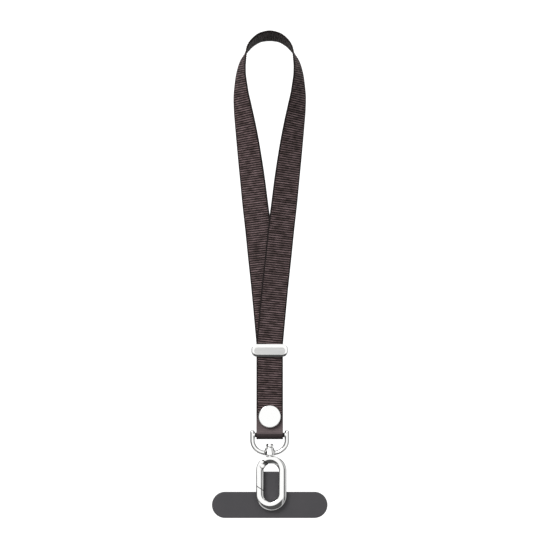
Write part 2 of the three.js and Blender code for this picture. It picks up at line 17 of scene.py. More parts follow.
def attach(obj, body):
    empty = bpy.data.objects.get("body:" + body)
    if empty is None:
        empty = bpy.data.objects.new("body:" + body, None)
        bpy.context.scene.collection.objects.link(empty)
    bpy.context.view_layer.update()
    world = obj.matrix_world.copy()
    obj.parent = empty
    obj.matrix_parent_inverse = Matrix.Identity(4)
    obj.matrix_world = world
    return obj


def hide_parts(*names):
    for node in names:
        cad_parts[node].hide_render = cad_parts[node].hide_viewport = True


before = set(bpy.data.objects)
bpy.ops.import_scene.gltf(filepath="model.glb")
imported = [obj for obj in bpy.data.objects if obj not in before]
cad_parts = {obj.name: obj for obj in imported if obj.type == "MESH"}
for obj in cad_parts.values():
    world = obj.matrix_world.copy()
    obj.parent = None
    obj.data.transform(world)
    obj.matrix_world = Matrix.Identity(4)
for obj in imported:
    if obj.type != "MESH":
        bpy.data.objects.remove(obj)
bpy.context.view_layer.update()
print("solids:", sorted(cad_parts))

MM = 0.001

# %% [markdown]
# ## Camera
# The photograph is level and the strap hangs in the middle of a square picture. A long lens
# about a metre away shows the underside of the loop's crest and the tops of the metal parts,
# as the photograph does. The lens follows from the width of the frame at the strap.

# %% Camera
PICTURE = 550  # pixels, both ways
MM_PER_PIXEL = 0.566  # 15 mm webbing is 26.5 pixels wide
STRAP_AXIS_PIXEL = 269.7  # the strap's centre line, across the picture
CREST_PIXEL = 36.8  # where the loop hangs, down the picture
CAMERA_DISTANCE = 1000 * MM
SENSOR = 36

camera_data = bpy.data.cameras.new("camera")
camera_data.sensor_width = SENSOR
camera_data.lens = SENSOR * CAMERA_DISTANCE / (PICTURE * MM_PER_PIXEL * MM)
camera = bpy.data.objects.new("camera", camera_data)
camera.location = (
    (PICTURE / 2 - STRAP_AXIS_PIXEL) * MM_PER_PIXEL * MM,
    -CAMERA_DISTANCE,
    (CREST_PIXEL - PICTURE / 2) * MM_PER_PIXEL * MM,
)
camera.rotation_euler = (math.pi / 2, 0, 0)
bpy.context.scene.collection.objects.link(camera)
bpy.context.scene.camera = camera
print("lens", round(camera_data.lens, 1), "mm at", tuple(round(c, 4) for c in camera.location))

# %% [markdown]
# ## Small helpers
# Colours are written as the sRGB hex values a picker shows, and turned to the linear values
# that a shader works in. One function adds any node, so a tree reads as a list of steps, and
# two more add the nodes that come up most, a mix of two colours and a sum.

# %% Colours and nodes


def linear(hex_colour):
    """An sRGB hex colour as a linear colour with full alpha."""
    parts = [int(hex_colour[i : i + 2], 16) / 255 for i in (1, 3, 5)]
    return [p / 12.92 if p <= 0.04045 else ((p + 0.055) / 1.055) ** 2.4 for p in parts] + [1]


def add_node(tree, kind, inputs=(), **settings):
    """Adds a node with its settings, and gives each named input its value or its link."""
    added = tree.nodes.new(kind)
    for name, value in settings.items():
        setattr(added, name, value)
    for key, value in dict(inputs).items():
        if isinstance(value, bpy.types.NodeSocket):
            tree.links.new(value, added.inputs[key])
        else:
            added.inputs[key].default_value = value
    return added


def mix_colours(tree, factor, first, second):
    """A mix of two colours, each one a hex value or the socket of another node."""
    first, second = (linear(c) if isinstance(c, str) else c for c in (first, second))
    inputs = {"Factor": factor, "A": first, "B": second}
    return add_node(tree, "ShaderNodeMix", inputs, data_type="RGBA").outputs["Result"]


def math_step(tree, operation, *values):
    """The result of one operation on numbers and sockets."""
    return add_node(tree, "ShaderNodeMath", dict(enumerate(values)), operation=operation).outputs[0]


def new_material(name):
    """An empty node material."""
    made = bpy.data.materials.new(name)
    made.use_nodes = True
    made.node_tree.nodes.clear()
    return made


def finish_material(material, shader):
    """Sends a shader to the material's output."""
    add_node(material.node_tree, "ShaderNodeOutputMaterial", {"Surface": shader.outputs[0]})
    print("material:", material.name)
    return material


# %% [markdown]
# Most of the pieces are rows of points joined into a skin, so one function makes a closed mesh
# from rings, and others round the corners of an outline or turn a profile about an axis.

# %% Shapes


def link_piece(name, mesh, material, sharp_degrees=40):
    """A smooth-shaded object at the origin, with edges kept sharp above an angle. Large faces
    set the normals, so that a flat face beside a narrow bevel stays flat to look at."""
    piece = bpy.data.objects.new(name, mesh)
    bpy.context.scene.collection.objects.link(piece)
    mesh.materials.clear()
    mesh.materials.append(material)
    mesh.shade_smooth()
    mesh.set_sharp_from_angle(angle=math.radians(sharp_degrees))
    step = piece.modifiers.new("normals", "WEIGHTED_NORMAL")
    step.keep_sharp = True
    graph = bpy.context.evaluated_depsgraph_get()
    weighted = bpy.data.meshes.new_from_object(piece.evaluated_get(graph))
    piece.modifiers.clear()
    piece.data = weighted
    return piece


def outward(mesh):
    """Points the faces of a closed mesh outwards."""
    work = bmesh.new()
    work.from_mesh(mesh)
    bmesh.ops.remove_doubles(work, verts=work.verts, dist=1e-7)
    bmesh.ops.recalc_face_normals(work, faces=work.faces)
    work.to_mesh(mesh)
    work.free()
    return mesh


def skin(name, rings, round_trip=False):
    """A closed mesh through rings of points in millimetres. The rings meet at the ends of a
    round trip, and otherwise the first and the last are filled."""
    rings = np.array(rings, float)
    count, size = rings.shape[:2]
    faces = []
    for r in range(count if round_trip else count - 1):
        after = (r + 1) % count
        for i in range(size):
            j = (i + 1) % size
            faces.append((r * size + i, r * size + j, after * size + j, after * size + i))
    if not round_trip:
        faces.append(tuple(range(size)))
        faces.append(tuple(range((count - 1) * size, count * size)))
    mesh = bpy.data.meshes.new(name)
    mesh.from_pydata((rings.reshape(-1, 3) * MM).tolist(), [], faces)
    return outward(mesh)


def rounded(points, radius, steps=5, closed=True):
    """An outline with each corner turned into a short curve that starts radius before it."""
    points = [np.array(p, float) for p in points]
    out = []
    for i, corner in enumerate(points):
        if not closed and i in (0, len(points) - 1):
            out.append(corner)
            continue
        before, after = points[i - 1] - corner, points[(i + 1) % len(points)] - corner
        start = corner + before * min(radius / np.linalg.norm(before), 0.49)
        end = corner + after * min(radius / np.linalg.norm(after), 0.49)
        for t in np.linspace(0, 1, steps + 1):
            out.append((1 - t) ** 2 * start + 2 * t * (1 - t) * corner + t * t * end)
    return np.array(out)


# %% [markdown]
# Round parts could come from Blender's own cylinders, but a profile turned about an axis gives
# steps, cones and round edges in one go. Holes and unions are booleans on plain meshes: each
# one is worked out at once, so no modifier is left on a piece.

# %% Turned shapes, blocks and booleans


def turned(name, profile, place, upright=True, sides=64):
    """A profile of (radius, height) rows turned about Z, or about Y where it isn't upright.
    A row with no radius is a pole."""
    turns = np.linspace(0, 2 * math.pi, sides, endpoint=False)
    points, faces, rows = [], [], []
    for radius, height in profile:
        first = len(points)
        if radius < 1e-6:
            points.append((0, 0, height))
            rows.append([first] * sides)
        else:
            points += [(radius * math.cos(t), radius * math.sin(t), height) for t in turns]
            rows.append(list(range(first, first + sides)))
    for low, high in zip(rows, rows[1:]):
        for i in range(sides):
            j = (i + 1) % sides
            corners = dict.fromkeys((low[i], low[j], high[j], high[i]))
            if len(corners) > 2:
                faces.append(tuple(corners))
    mesh = bpy.data.meshes.new(name)
    mesh.from_pydata([[c * MM for c in p] for p in points], [], faces)
    if not upright:
        mesh.transform(Matrix.Rotation(-math.pi / 2, 4, "X"))
    mesh.transform(Matrix.Translation(Vector(place) * MM))
    return outward(mesh)


def prism(name, outline, front, back):
    """A block with an outline in the XZ plane, between two distances to the back."""
    return skin(name, [[(x, y, z) for x, z in outline] for y in (front, back)])


def cut(mesh, tool, operation):
    """A mesh joined with, cut by or kept inside another one."""
    base = bpy.data.objects.new("base", mesh)
    other = bpy.data.objects.new("tool", tool)
    for o in (base, other):
        bpy.context.scene.collection.objects.link(o)
    step = base.modifiers.new("cut", "BOOLEAN")
    step.operation, step.object, step.solver = operation, other, "EXACT"
    graph = bpy.context.evaluated_depsgraph_get()
    result = bpy.data.meshes.new_from_object(base.evaluated_get(graph))
    for o in (base, other):
        bpy.data.objects.remove(o)
    return result


def report(piece):
    """Says how large a piece is and how many triangles it has."""
    points = np.array([v.co for v in piece.data.vertices]) / MM
    size = np.round(points.max(0) - points.min(0), 1).tolist()
    piece.data.calc_loop_triangles()
    print(piece.name, size, "mm,", len(piece.data.loop_triangles), "triangles")


def mount_piece(piece, node, body):
    """The piece stands for a solid, which is hidden, and moves with its body."""
    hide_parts(node)
    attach(piece, body)
    report(piece)


# %% [markdown]
# ## Webbing
# The strap is grosgrain webbing: thick weft yarns, packed side by side, make round ribs across
# it, and a narrow flat selvedge runs along each edge. A texture could fake the ribs, but they
# catch the light along the whole strap and show on its outline, so they are real here. The
# strip's middle line is worked out first, then a smooth skin is laid along it, and a Geometry
# Nodes tree raises the ribs on the skin from named sizes.

# %% Sizes of the webbing
GAP = 0.3  # mm, between pieces that touch
STRAP_WIDTH = 15.0
STRAP_THICKNESS = 1.1
LOOP_DROP = 174.3
LOOP_HALF_WIDTH = 16.4
FOLD_FLARE = 5.0
BAR_DIAMETER = 2.6
BAR_Z = -225.35
RIVET_Z = -214.65
BACK_END_ABOVE_RIVET = 7.9
MIDDLE_END_ABOVE_BAR = 4.2
LAYER = STRAP_THICKNESS + GAP
STACK_FACE = LAYER + STRAP_THICKNESS / 2
FOLD_RADIUS = BAR_DIAMETER / 2 + GAP + STRAP_THICKNESS / 2
CREST_Z = STRAP_THICKNESS / 2
KEEPER_TOP_Z = CREST_Z - LOOP_DROP
RIB_PITCH = 1.28  # 2.27 pixels of the photograph
RIB_HEIGHT = 0.32
RIB_SAMPLES = 6  # stations to a rib
SELVEDGE = 0.75
print("layers lie", round(LAYER, 2), "mm apart, and the fold's radius is", round(FOLD_RADIUS, 2))

# drop and spread are shares of LOOP_DROP and LOOP_HALF_WIDTH, lean is in degrees, and right
# and left are the two sides' places towards the back, in layers.
LOOP_COLUMNS = ("drop", "spread", "lean", "right", "left")
LOOP_ROWS = [
    (0, 0, 14.5, 0, 0),
    (0.004, 0.276, 12.5, 0, 0),
    (0.022, 0.586, 7.5, -0.02, -0.02),
    (0.04, 0.741, 3, -0.05, -0.05),
    (0.057, 0.828, -4, -0.08, -0.08),
    (0.079, 0.914, -12.3, -0.12, -0.12),
    (0.105, 0.972, -18, -0.18, -0.15),
    (0.137, 1, -24.2, -0.25, -0.18),
    (0.183, 0.99, -33.8, -0.4, -0.2),
    (0.235, 0.929, -43.2, -0.55, -0.18),
    (0.287, 0.847, -50.5, -0.7, -0.1),
    (0.338, 0.769, -57, -0.85, 0),
    (0.403, 0.679, -64, -1.02, 0.15),
    (0.468, 0.593, -70, -1.2, 0.3),
    (0.546, 0.5, -76, -1.35, 0.45),
    (0.624, 0.4, -80.5, -1.42, 0.45),
    (0.715, 0.298, -84.5, -1.35, 0.35),
    (0.806, 0.193, -87, -1.2, 0.2),
    (0.897, 0.1, -89, -1.06, 0.06),
    (1, 0, -90, -1, 0),
]

# %% [markdown]
# A strap like this is one strip, so it gets one line. The line could be drawn by hand as a
# curve, but a table of places read off the photograph, with a smooth function through them, is
# easier to put right row by row. The lean says how far the strip's face turns to the front. It
# changes sign near the crest, where the photograph shows the inner face.

# %% The strip's middle line


def smooth_through(keys, values):
    """A smooth function through the values that never overshoots them."""
    keys, values = np.array(keys, float), np.array(values, float)
    rise = np.diff(values) / np.diff(keys)
    slope = np.concatenate([rise[:1], np.zeros(len(rise) - 1), rise[-1:]])
    same_way = rise[:-1] * rise[1:] > 0
    total = np.where(same_way, rise[:-1] + rise[1:], 1)
    slope[1:-1] = np.where(same_way, 2 * rise[:-1] * rise[1:] / total, 0)

    def value(key):
        i = np.clip(np.searchsorted(keys, key, side="right") - 1, 0, len(keys) - 2)
        span = keys[i + 1] - keys[i]
        t = (key - keys[i]) / span
        return (
            (1 + 2 * t) * (1 - t) ** 2 * values[i]
            + t * (1 - t) ** 2 * span * slope[i]
            + t * t * (3 - 2 * t) * values[i + 1]
            - t * t * (1 - t) * span * slope[i + 1]
        )

    return value


def loop_line(steps=900):
    """Middle, way across and way out of the face, from the keeper up the right side, over the
    crest and down the left side."""
    table = {name: np.array(column) for name, column in zip(LOOP_COLUMNS, zip(*LOOP_ROWS))}
    mirrored = lambda right, left: np.concatenate([right[::-1], left[1:]])
    x = mirrored(table["spread"], -table["spread"]) * LOOP_HALF_WIDTH
    y = mirrored(table["right"], table["left"]) * LAYER
    z = CREST_Z - mirrored(table["drop"], table["drop"]) * LOOP_DROP
    lean = mirrored(table["lean"], table["lean"])
    keys = np.concatenate([[0], np.cumsum(np.hypot(np.diff(x), np.diff(z)))])
    place = {n: smooth_through(keys, v) for n, v in (("x", x), ("y", y), ("z", z), ("lean", lean))}
    key = np.linspace(0, keys[-1], steps)
    middle = np.stack([place["x"](key), place["y"](key), place["z"](key)], axis=1)
    low = np.clip(key - STRAP_THICKNESS / 2, 0, keys[-1])
    high = np.clip(key + STRAP_THICKNESS / 2, 0, keys[-1])
    run_x, run_z = place["x"](high) - place["x"](low), place["z"](high) - place["z"](low)
    length = np.hypot(run_x, run_z)
    run = np.stack([run_x / length, 0 * key, run_z / length], axis=1)
    tilt = np.radians(place["lean"](key))
    across = np.stack([run[:, 2] * np.sin(tilt), -np.cos(tilt), -run[:, 0] * np.sin(tilt)], axis=1)
    return middle, across, np.cross(run, across)


def layer_line(rows, across):
    """A line of (y, z, out_y, out_z) rows straight up or down, or round the bar."""
    rows = np.array(rows, float)
    none = np.zeros(len(rows))
    middle = np.stack([none, rows[:, 0], rows[:, 1]], axis=1)
    out = np.stack([none, rows[:, 2], rows[:, 3]], axis=1)
    return middle, np.tile([across, 0, 0], (len(rows), 1)), out


def strip_line():
    """The whole strip, from its end behind the rivet to its end between the layers."""
    shares = np.linspace(0, 1, 25)
    flare = FOLD_RADIUS + (LAYER - FOLD_RADIUS) * shares**2 * (3 - 2 * shares)
    heights = BAR_Z + FOLD_FLARE * shares
    turns = np.linspace(0, math.pi, 49)[1:-1]
    back = [(LAYER, RIVET_Z + BACK_END_ABOVE_RIVET, 1, 0)]
    back += [(y, z, 1, 0) for y, z in zip(flare[::-1], heights[::-1])]
    fold = [
        (FOLD_RADIUS * math.cos(t), BAR_Z - FOLD_RADIUS * math.sin(t), math.cos(t), -math.sin(t))
        for t in turns
    ]
    front = [(-y, z, -1, 0) for y, z in zip(flare, heights)]
    inner_end = [(0, BAR_Z + MIDDLE_END_ABOVE_BAR, -1, 0)]
    lines = [layer_line(back + fold + front, -1), loop_line(), layer_line(inner_end, 1)]
    return [np.concatenate(parts) for parts in zip(*lines)]


def evenly(middle, across, out, step):
    """The same line with a station at about every step, and how far along each lies."""
    along = np.concatenate([[0], np.cumsum(np.linalg.norm(np.diff(middle, axis=0), axis=1))])
    at = np.linspace(0, along[-1], round(along[-1] / step) + 1)
    rows = [np.stack([np.interp(at, along, v[:, k]) for k in range(3)], axis=1)
            for v in (middle, across, out)]
    for v in rows[1:]:
        v /= np.linalg.norm(v, axis=1, keepdims=True)
    return at, *rows


along, middle, across, out = evenly(*strip_line(), RIB_PITCH / RIB_SAMPLES)
STRIP_LENGTH = along[-1]
print("the strip is", round(STRIP_LENGTH, 1), "mm long, with", len(along), "stations")

# %% [markdown]
# The skin is a flat ring of points at every station. Three things are stored on its points for
# the tree: how far along the strip a point lies, how much of a rib's height it takes, and which
# way is out. The ribs fade where the webbing is pressed flat, under the rivet and round the bar.
# Three more are stored for the material: where it is pressed, and two masks for painted shade,
# where it folds down round the bar and which face is the inner one. A UV map in millimetres,
# across and along, lets the weave follow the strip round its twists.

# %% The strip's skin
PRESSED_ABOVE_BAR = 13.0  # mm of webbing above the bar that the rivet presses flat
PRESSED_SHARE = 0.12  # what is left of a rib there
# The fold band gets a painted shade, where the webbing turns down and away under the bar.
FOLD_SHADE_BAND = 4.6  # mm each way from the fold's lowest line, the part that turns down and away


def strip_section():
    """Rows of place across, side of the strip and share of a rib, once round the strip."""
    edge = STRAP_WIDTH / 2
    body = edge - SELVEDGE
    face = [(-edge + 0.3, 0), (-body - 0.1, 0), (-body + 0.12, 1), (-body * 0.55, 1), (0, 1),
            (body * 0.55, 1), (body - 0.12, 1), (body + 0.1, 0), (edge - 0.3, 0)]
    top = [(a, 1, share) for a, share in face]
    bottom = [(a, -1, share) for a, share in reversed(face)]
    return [*top, (edge, 0.45, 0), (edge, -0.45, 0), *bottom, (-edge, -0.45, 0), (-edge, 0.45, 0)]


section = strip_section()
base_half = STRAP_THICKNESS / 2 - RIB_HEIGHT
selvedge_half = base_half + RIB_HEIGHT * 0.35
size = len(section)
rings = np.zeros((len(along), size, 3))
for i, (a, side, share) in enumerate(section):
    half = base_half if share else selvedge_half
    rings[:, i] = middle + across * a + out * side * half

fold_end = along[np.argmin(middle[:, 2])]
press_reach = PRESSED_ABOVE_BAR + FOLD_RADIUS * math.pi / 2
from_fold = np.abs(along - fold_end)
from_end = np.minimum(from_fold, STRIP_LENGTH - along + MIDDLE_END_ABOVE_BAR)
fade = np.clip((from_end - press_reach * 0.6) / (press_reach * 0.4), 0, 1)
rib_left = PRESSED_SHARE + (1 - PRESSED_SHARE) * fade

bare = bpy.data.meshes.new("webbing_skin")
faces = [
    (r * size + i, (r + 1) * size + i, (r + 1) * size + (i + 1) % size, r * size + (i + 1) % size)
    for r in range(len(along) - 1)
    for i in range(size)
]
faces += [tuple(range(size)), tuple(range(len(along) * size - 1, (len(along) - 1) * size - 1, -1))]
bare.from_pydata((rings.reshape(-1, 3) * MM).tolist(), [], faces)

stored = {
    "along": ("FLOAT", "value", np.repeat(along, size)),
    "rib_share": ("FLOAT", "value", np.outer(rib_left, [s * share for _, s, share in section]).ravel()),
    "pressed": ("FLOAT", "value", np.repeat(1 - fade, size)),
    "inner": ("FLOAT", "value", np.tile([float(s < 0) for _, s, _ in section], len(along))),
    "fold": ("FLOAT", "value", np.repeat(np.clip((FOLD_SHADE_BAND - from_fold) / 0.6, 0, 1), size)),
    "out": ("FLOAT_VECTOR", "vector", np.repeat(out, size, axis=0).ravel()),
}
for name, (kind, field, values) in stored.items():
    bare.attributes.new(name, kind, "POINT").data.foreach_set(field, values.astype(np.float32))

weave = bare.uv_layers.new(name="Weave")
corner = np.zeros(len(bare.loops), np.int32)
bare.loops.foreach_get("vertex_index", corner)
section_across = np.array([a for a, _, _ in section])
uv = np.stack([section_across[corner % size], along[corner // size]], axis=1)
weave.data.foreach_set("uv", uv.astype(np.float32).ravel())
print("skin:", len(bare.vertices), "points,", len(bare.polygons), "faces")

# %% [markdown]
# The webbing is dyed polyester. Its yarns are dull, with hardly a sheen at a slant. Rib by rib
# the brown-grey changes a little, the grooves get a painted shade because no light gets in, and
# the selvedges are darker too. The inner face, which shows at the crest, and the part of the fold
# that turns down and away under the bar get a painted shade as well. A picture of cloth could be
# laid on it instead, but a few nodes on the strip's own map stay sharp at any distance. The
# threads that hold the ribs run along the strip, and they are a bump because they are so fine.

# %% Webbing material
RIB_COLOUR = "#453837"
RIB_LIGHT_COLOUR = "#736162"
GROOVE_SHADE_COLOUR = "#080606"
SELVEDGE_COLOUR = "#1b1515"
PRESSED_COLOUR = "#655a5b"
INNER_FACE_SHADE_COLOUR = "#241f1e"
# Each share that is stored on the skin, how much of a colour it lays on, and the colour. The fold and
# the inner face get painted shade.
STORED_TINTS = (("pressed", 0.85, PRESSED_COLOUR), ("fold", 0.7, GROOVE_SHADE_COLOUR),
                ("inner", 0.6, INNER_FACE_SHADE_COLOUR))
WARP_PITCH = 0.42  # mm, drawn about twice as coarse as real so that it shows


def webbing_material():
    made = new_material("dyed polyester grosgrain")
    t = made.node_tree
    uv_map = add_node(t, "ShaderNodeUVMap", uv_map="Weave")
    place = add_node(t, "ShaderNodeSeparateXYZ", {0: uv_map.outputs[0]})
    math_node = lambda *step: math_step(t, *step)
    across_mm, along_mm = place.outputs[0], place.outputs[1]
    rib = math_node("DIVIDE", along_mm, RIB_PITCH)
    wave = math_node("ABSOLUTE", math_node("SINE", math_node("MULTIPLY", rib, math.pi)))
    rib_number = math_node("FLOOR", rib)
    cell = add_node(t, "ShaderNodeCombineXYZ", {0: math_node("MULTIPLY", across_mm, 0.12),
                                                1: math_node("MULTIPLY", rib_number, 0.37)})
    yarn = add_node(t, "ShaderNodeTexNoise", {"Vector": cell.outputs[0], "Scale": 1.7, "Detail": 2.0})
    yarn_mix = add_node(t, "ShaderNodeMapRange", {0: yarn.outputs[0], 1: 0.35, 2: 0.65})
    ribs = mix_colours(t, yarn_mix.outputs[0], RIB_COLOUR, RIB_LIGHT_COLOUR)
    # Painted shade: the grooves between the ribs get the dark groove colour.
    ridge = add_node(t, "ShaderNodeMapRange", {0: wave, 1: 0.35, 2: 1.0})
    shaded = mix_colours(t, ridge.outputs[0], GROOVE_SHADE_COLOUR, ribs)
    from_edge = math_node("SUBTRACT", STRAP_WIDTH / 2, math_node("ABSOLUTE", across_mm))
    inside = add_node(t, "ShaderNodeMapRange", {0: from_edge, 1: SELVEDGE * 0.8, 2: SELVEDGE * 1.25})
    colour = mix_colours(t, inside.outputs[0], SELVEDGE_COLOUR, shaded)
    # The plain pressed colour, and painted shade on the fold and on the inner face, laid on by their
    # stored shares.
    for name, strength, tint in STORED_TINTS:
        stored_share = add_node(t, "ShaderNodeAttribute", attribute_name=name).outputs["Fac"]
        colour = mix_colours(t, math_node("MULTIPLY", stored_share, strength), colour, tint)
    warp = math_node("SINE", math_node("MULTIPLY", across_mm, 2 * math.pi / WARP_PITCH))
    fuzz = add_node(t, "ShaderNodeTexNoise", {"Vector": uv_map.outputs[0], "Scale": 5.0, "Detail": 3.0})
    height = math_node("ADD", math_node("MULTIPLY", warp, 0.4), fuzz.outputs[0])
    bump = add_node(t, "ShaderNodeBump", {"Height": height, "Strength": 0.35, "Distance": 0.06 * MM})
    shader = add_node(t, "ShaderNodeBsdfPrincipled", {
        "Base Color": colour, "Roughness": 0.7, "IOR": 1.5, "Specular IOR Level": 0.08,
        "Sheen Weight": 0.04, "Sheen Roughness": 0.4, "Normal": bump.outputs[0],
    })
    return finish_material(made, shader)


webbing = webbing_material()

# %% [markdown]
# The ribs could be a bump in the material, but then the strap's outline would be smooth. The
# tree moves each point out by its share of a rib. A rib is round on top and meets the next in a
# narrow groove, which is the shape of a sine without its sign, raised to a small power.

# %% Ribs with Geometry Nodes


def rib_tree():
    tree = bpy.data.node_groups.new("grosgrain ribs", "GeometryNodeTree")
    tree.interface.new_socket("Geometry", in_out="INPUT", socket_type="NodeSocketGeometry")
    for name in ("Rib pitch", "Rib height", "Rib roundness"):
        tree.interface.new_socket(name, in_out="INPUT", socket_type="NodeSocketFloat")
    tree.interface.new_socket("Material", in_out="INPUT", socket_type="NodeSocketMaterial")
    tree.interface.new_socket("Geometry", in_out="OUTPUT", socket_type="NodeSocketGeometry")
    given = add_node(tree, "NodeGroupInput").outputs
    named = lambda name, kind: add_node(
        tree, "GeometryNodeInputNamedAttribute", {"Name": name}, data_type=kind
    ).outputs[0]
    math_node = lambda *step: math_step(tree, *step)
    ribs_along = math_node("DIVIDE", named("along", "FLOAT"), given["Rib pitch"])
    turn = math_node("MULTIPLY", ribs_along, math.pi)
    ridge = math_node("POWER", math_node("ABSOLUTE", math_node("SINE", turn)), given["Rib roundness"])
    full_lift = math_node("MULTIPLY", ridge, given["Rib height"])
    lift = math_node("MULTIPLY", full_lift, named("rib_share", "FLOAT"))
    offset = add_node(tree, "ShaderNodeVectorMath", {0: named("out", "FLOAT_VECTOR"), "Scale": lift},
                      operation="SCALE")
    moved = add_node(tree, "GeometryNodeSetPosition",
                     {"Geometry": given["Geometry"], "Offset": offset.outputs[0]})
    whole = add_node(tree, "GeometryNodeRealizeInstances", {0: moved.outputs[0]})
    dressed = add_node(tree, "GeometryNodeSetMaterial",
                       {"Geometry": whole.outputs[0], "Material": given["Material"]})
    add_node(tree, "NodeGroupOutput", {0: dressed.outputs[0]})
    return tree


def run_tree(mesh, tree, values):
    """The plain mesh that a tree makes of a mesh, with its named inputs set."""
    holder = bpy.data.objects.new("holder", mesh)
    bpy.context.scene.collection.objects.link(holder)
    step = holder.modifiers.new(tree.name, "NODES")
    step.node_group = tree
    given = [item for item in tree.interface.items_tree if item.in_out == "INPUT"]
    sockets = {item.name: item.identifier for item in given}
    for name, value in values.items():
        step[sockets[name]] = value
    graph = bpy.context.evaluated_depsgraph_get()
    result = bpy.data.meshes.new_from_object(holder.evaluated_get(graph))
    bpy.data.objects.remove(holder)
    return result


ribbed = run_tree(bare, rib_tree(), {
    "Rib pitch": RIB_PITCH,
    "Rib height": RIB_HEIGHT * MM,
    "Rib roundness": 0.7,
    "Material": webbing,
})
outward(ribbed)
strap_webbing = link_piece("strap_webbing", ribbed, webbing, sharp_degrees=75)
mount_piece(strap_webbing, "strap", "strap")

# %% [markdown]
# ## Bright metal
# The fittings are zinc alloy castings, polished and plated with bright nickel. A polished metal
# has almost no colour of its own: what shows is the room, so the edges and bevels below matter
# more than the colour. Handling leaves faint smears, which are a small change of roughness.
# The keeper's panel is brushed before plating, so it is softer, and its grey is a painted reflection
# of the grey that the flat panel mirrors. The slits and the bar under the webbing, where shade
# falls, get a dark metal that is painted shade.

# %% Metal material
NICKEL_COLOUR = "#e3e3e2"
BRUSH_AND_REFLECTION_GREYS = ("#a9a9a8", "#c6c6c5")
SHADE_METAL_COLOURS = ("#1c1b1b", "#343332")
SMEARS = 260.0  # to the metre, so about 4 mm each
PORES = 900.0  # about 1 mm each
BRUSH_LINES = 2600.0  # about 0.4 mm apart
BRUSH_LENGTHS = 60.0  # about 17 mm long


def nickel_material():
    made = new_material("bright nickel plating")
    t = made.node_tree
    place = add_node(t, "ShaderNodeTexCoord")
    smear = add_node(t, "ShaderNodeTexNoise",
                     {"Vector": place.outputs["Object"], "Scale": SMEARS, "Detail": 4.0})
    rough = add_node(t, "ShaderNodeMapRange", {0: smear.outputs[0], 1: 0.3, 2: 0.7, 3: 0.03, 4: 0.06})
    shader = add_node(t, "ShaderNodeBsdfPrincipled", {
        "Base Color": linear(NICKEL_COLOUR), "Metallic": 1.0, "Roughness": rough.outputs[0],
    })
    return finish_material(made, shader)


def shade_metal_material():
    made = new_material("dark metal of painted shade")
    t = made.node_tree
    place = add_node(t, "ShaderNodeTexCoord")
    pores = add_node(t, "ShaderNodeTexNoise",
                     {"Vector": place.outputs["Object"], "Scale": PORES})
    tint = mix_colours(t, pores.outputs[0], *SHADE_METAL_COLOURS)
    shader = add_node(t, "ShaderNodeBsdfPrincipled", {
        "Base Color": tint, "Metallic": 1.0, "Roughness": 0.6,
    })
    return finish_material(made, shader)


def brushed_nickel_reflection_material():
    """The same plating over fine lines that run along the panel, with a grey base colour that is a
    painted reflection.
    """
    made = new_material("brushed nickel with painted grey reflection")
    t = made.node_tree
    place = add_node(t, "ShaderNodeTexCoord")
    stretch = (BRUSH_LENGTHS, BRUSH_LENGTHS, BRUSH_LINES)
    stretched = add_node(t, "ShaderNodeMapping", {"Vector": place.outputs["Object"], "Scale": stretch})
    lines = add_node(t, "ShaderNodeTexNoise",
                     {"Vector": stretched.outputs[0], "Scale": 1.0, "Detail": 2.0})
    tint = mix_colours(t, lines.outputs[0], *BRUSH_AND_REFLECTION_GREYS)
    bump = add_node(t, "ShaderNodeBump",
                    {"Height": lines.outputs[0], "Strength": 0.2, "Distance": 0.02 * MM})
    shader = add_node(t, "ShaderNodeBsdfPrincipled", {
        "Base Color": tint, "Metallic": 1.0, "Roughness": 0.3,
        "Normal": bump.outputs[0],
    })
    return finish_material(made, shader)


nickel = nickel_material()
brushed_nickel_painted_reflection = brushed_nickel_reflection_material()
painted_shade_metal = shade_metal_material()

# %% [markdown]
# ## Keeper
# The keeper is a flat tube that the two layers pass through. From the front it is a bar with
# round ends: a flat brushed panel, with a polished bevel that falls away all round it and makes
# the bright line above and the dark one below. A box with a bevel modifier would get the same
# bevel on every side. Outlines that shrink towards the front and the back let each side have
# its own: the top and the ends are round, and the low one is flat. The slot for the two layers
# is cut through from top to bottom.

# %% Keeper
KEEPER_WIDTH = 20.6
KEEPER_HEIGHT = 7.2
KEEPER_WALL = 1.3
KEEPER_TOP_BEVEL = 1.9  # down its height
KEEPER_LOW_BEVEL = 1.2
KEEPER_END_BEVEL = 1.6
KEEPER_BEVEL_DEPTH = 0.55
KEEPER_END_RADIUS = 3.1  # of its ends, seen from the front
KEEPER_PANEL_RADIUS = 1.8  # the same, at the panel
KEEPER_BACK_SHARE = 0.5  # of the front's bevels, at the back
KEEPER_BACK_DEPTH = 0.6  # the same share for the bevels' depth
SLOT_RADIUS = 0.3
PANEL_AREA = 20.0  # square mm, and a face to the front above it is brushed


def rectangle_path(x_low, x_high, y_low, y_high, radius, steps):
    """Once round a rectangle with round corners."""
    corners = ((x_high, y_low, -90), (x_high, y_high, 0), (x_low, y_high, 90), (x_low, y_low, 180))
    middle = ((x_low + x_high) / 2, (y_low + y_high) / 2)
    path = []
    for x, y, first in corners:
        centre = (x - math.copysign(radius, x - middle[0]), y - math.copysign(radius, y - middle[1]))
        for t in np.radians(np.linspace(first, first + 90, steps + 1)):
            path.append((centre[0] + radius * math.cos(t), centre[1] + radius * math.sin(t)))
    return path


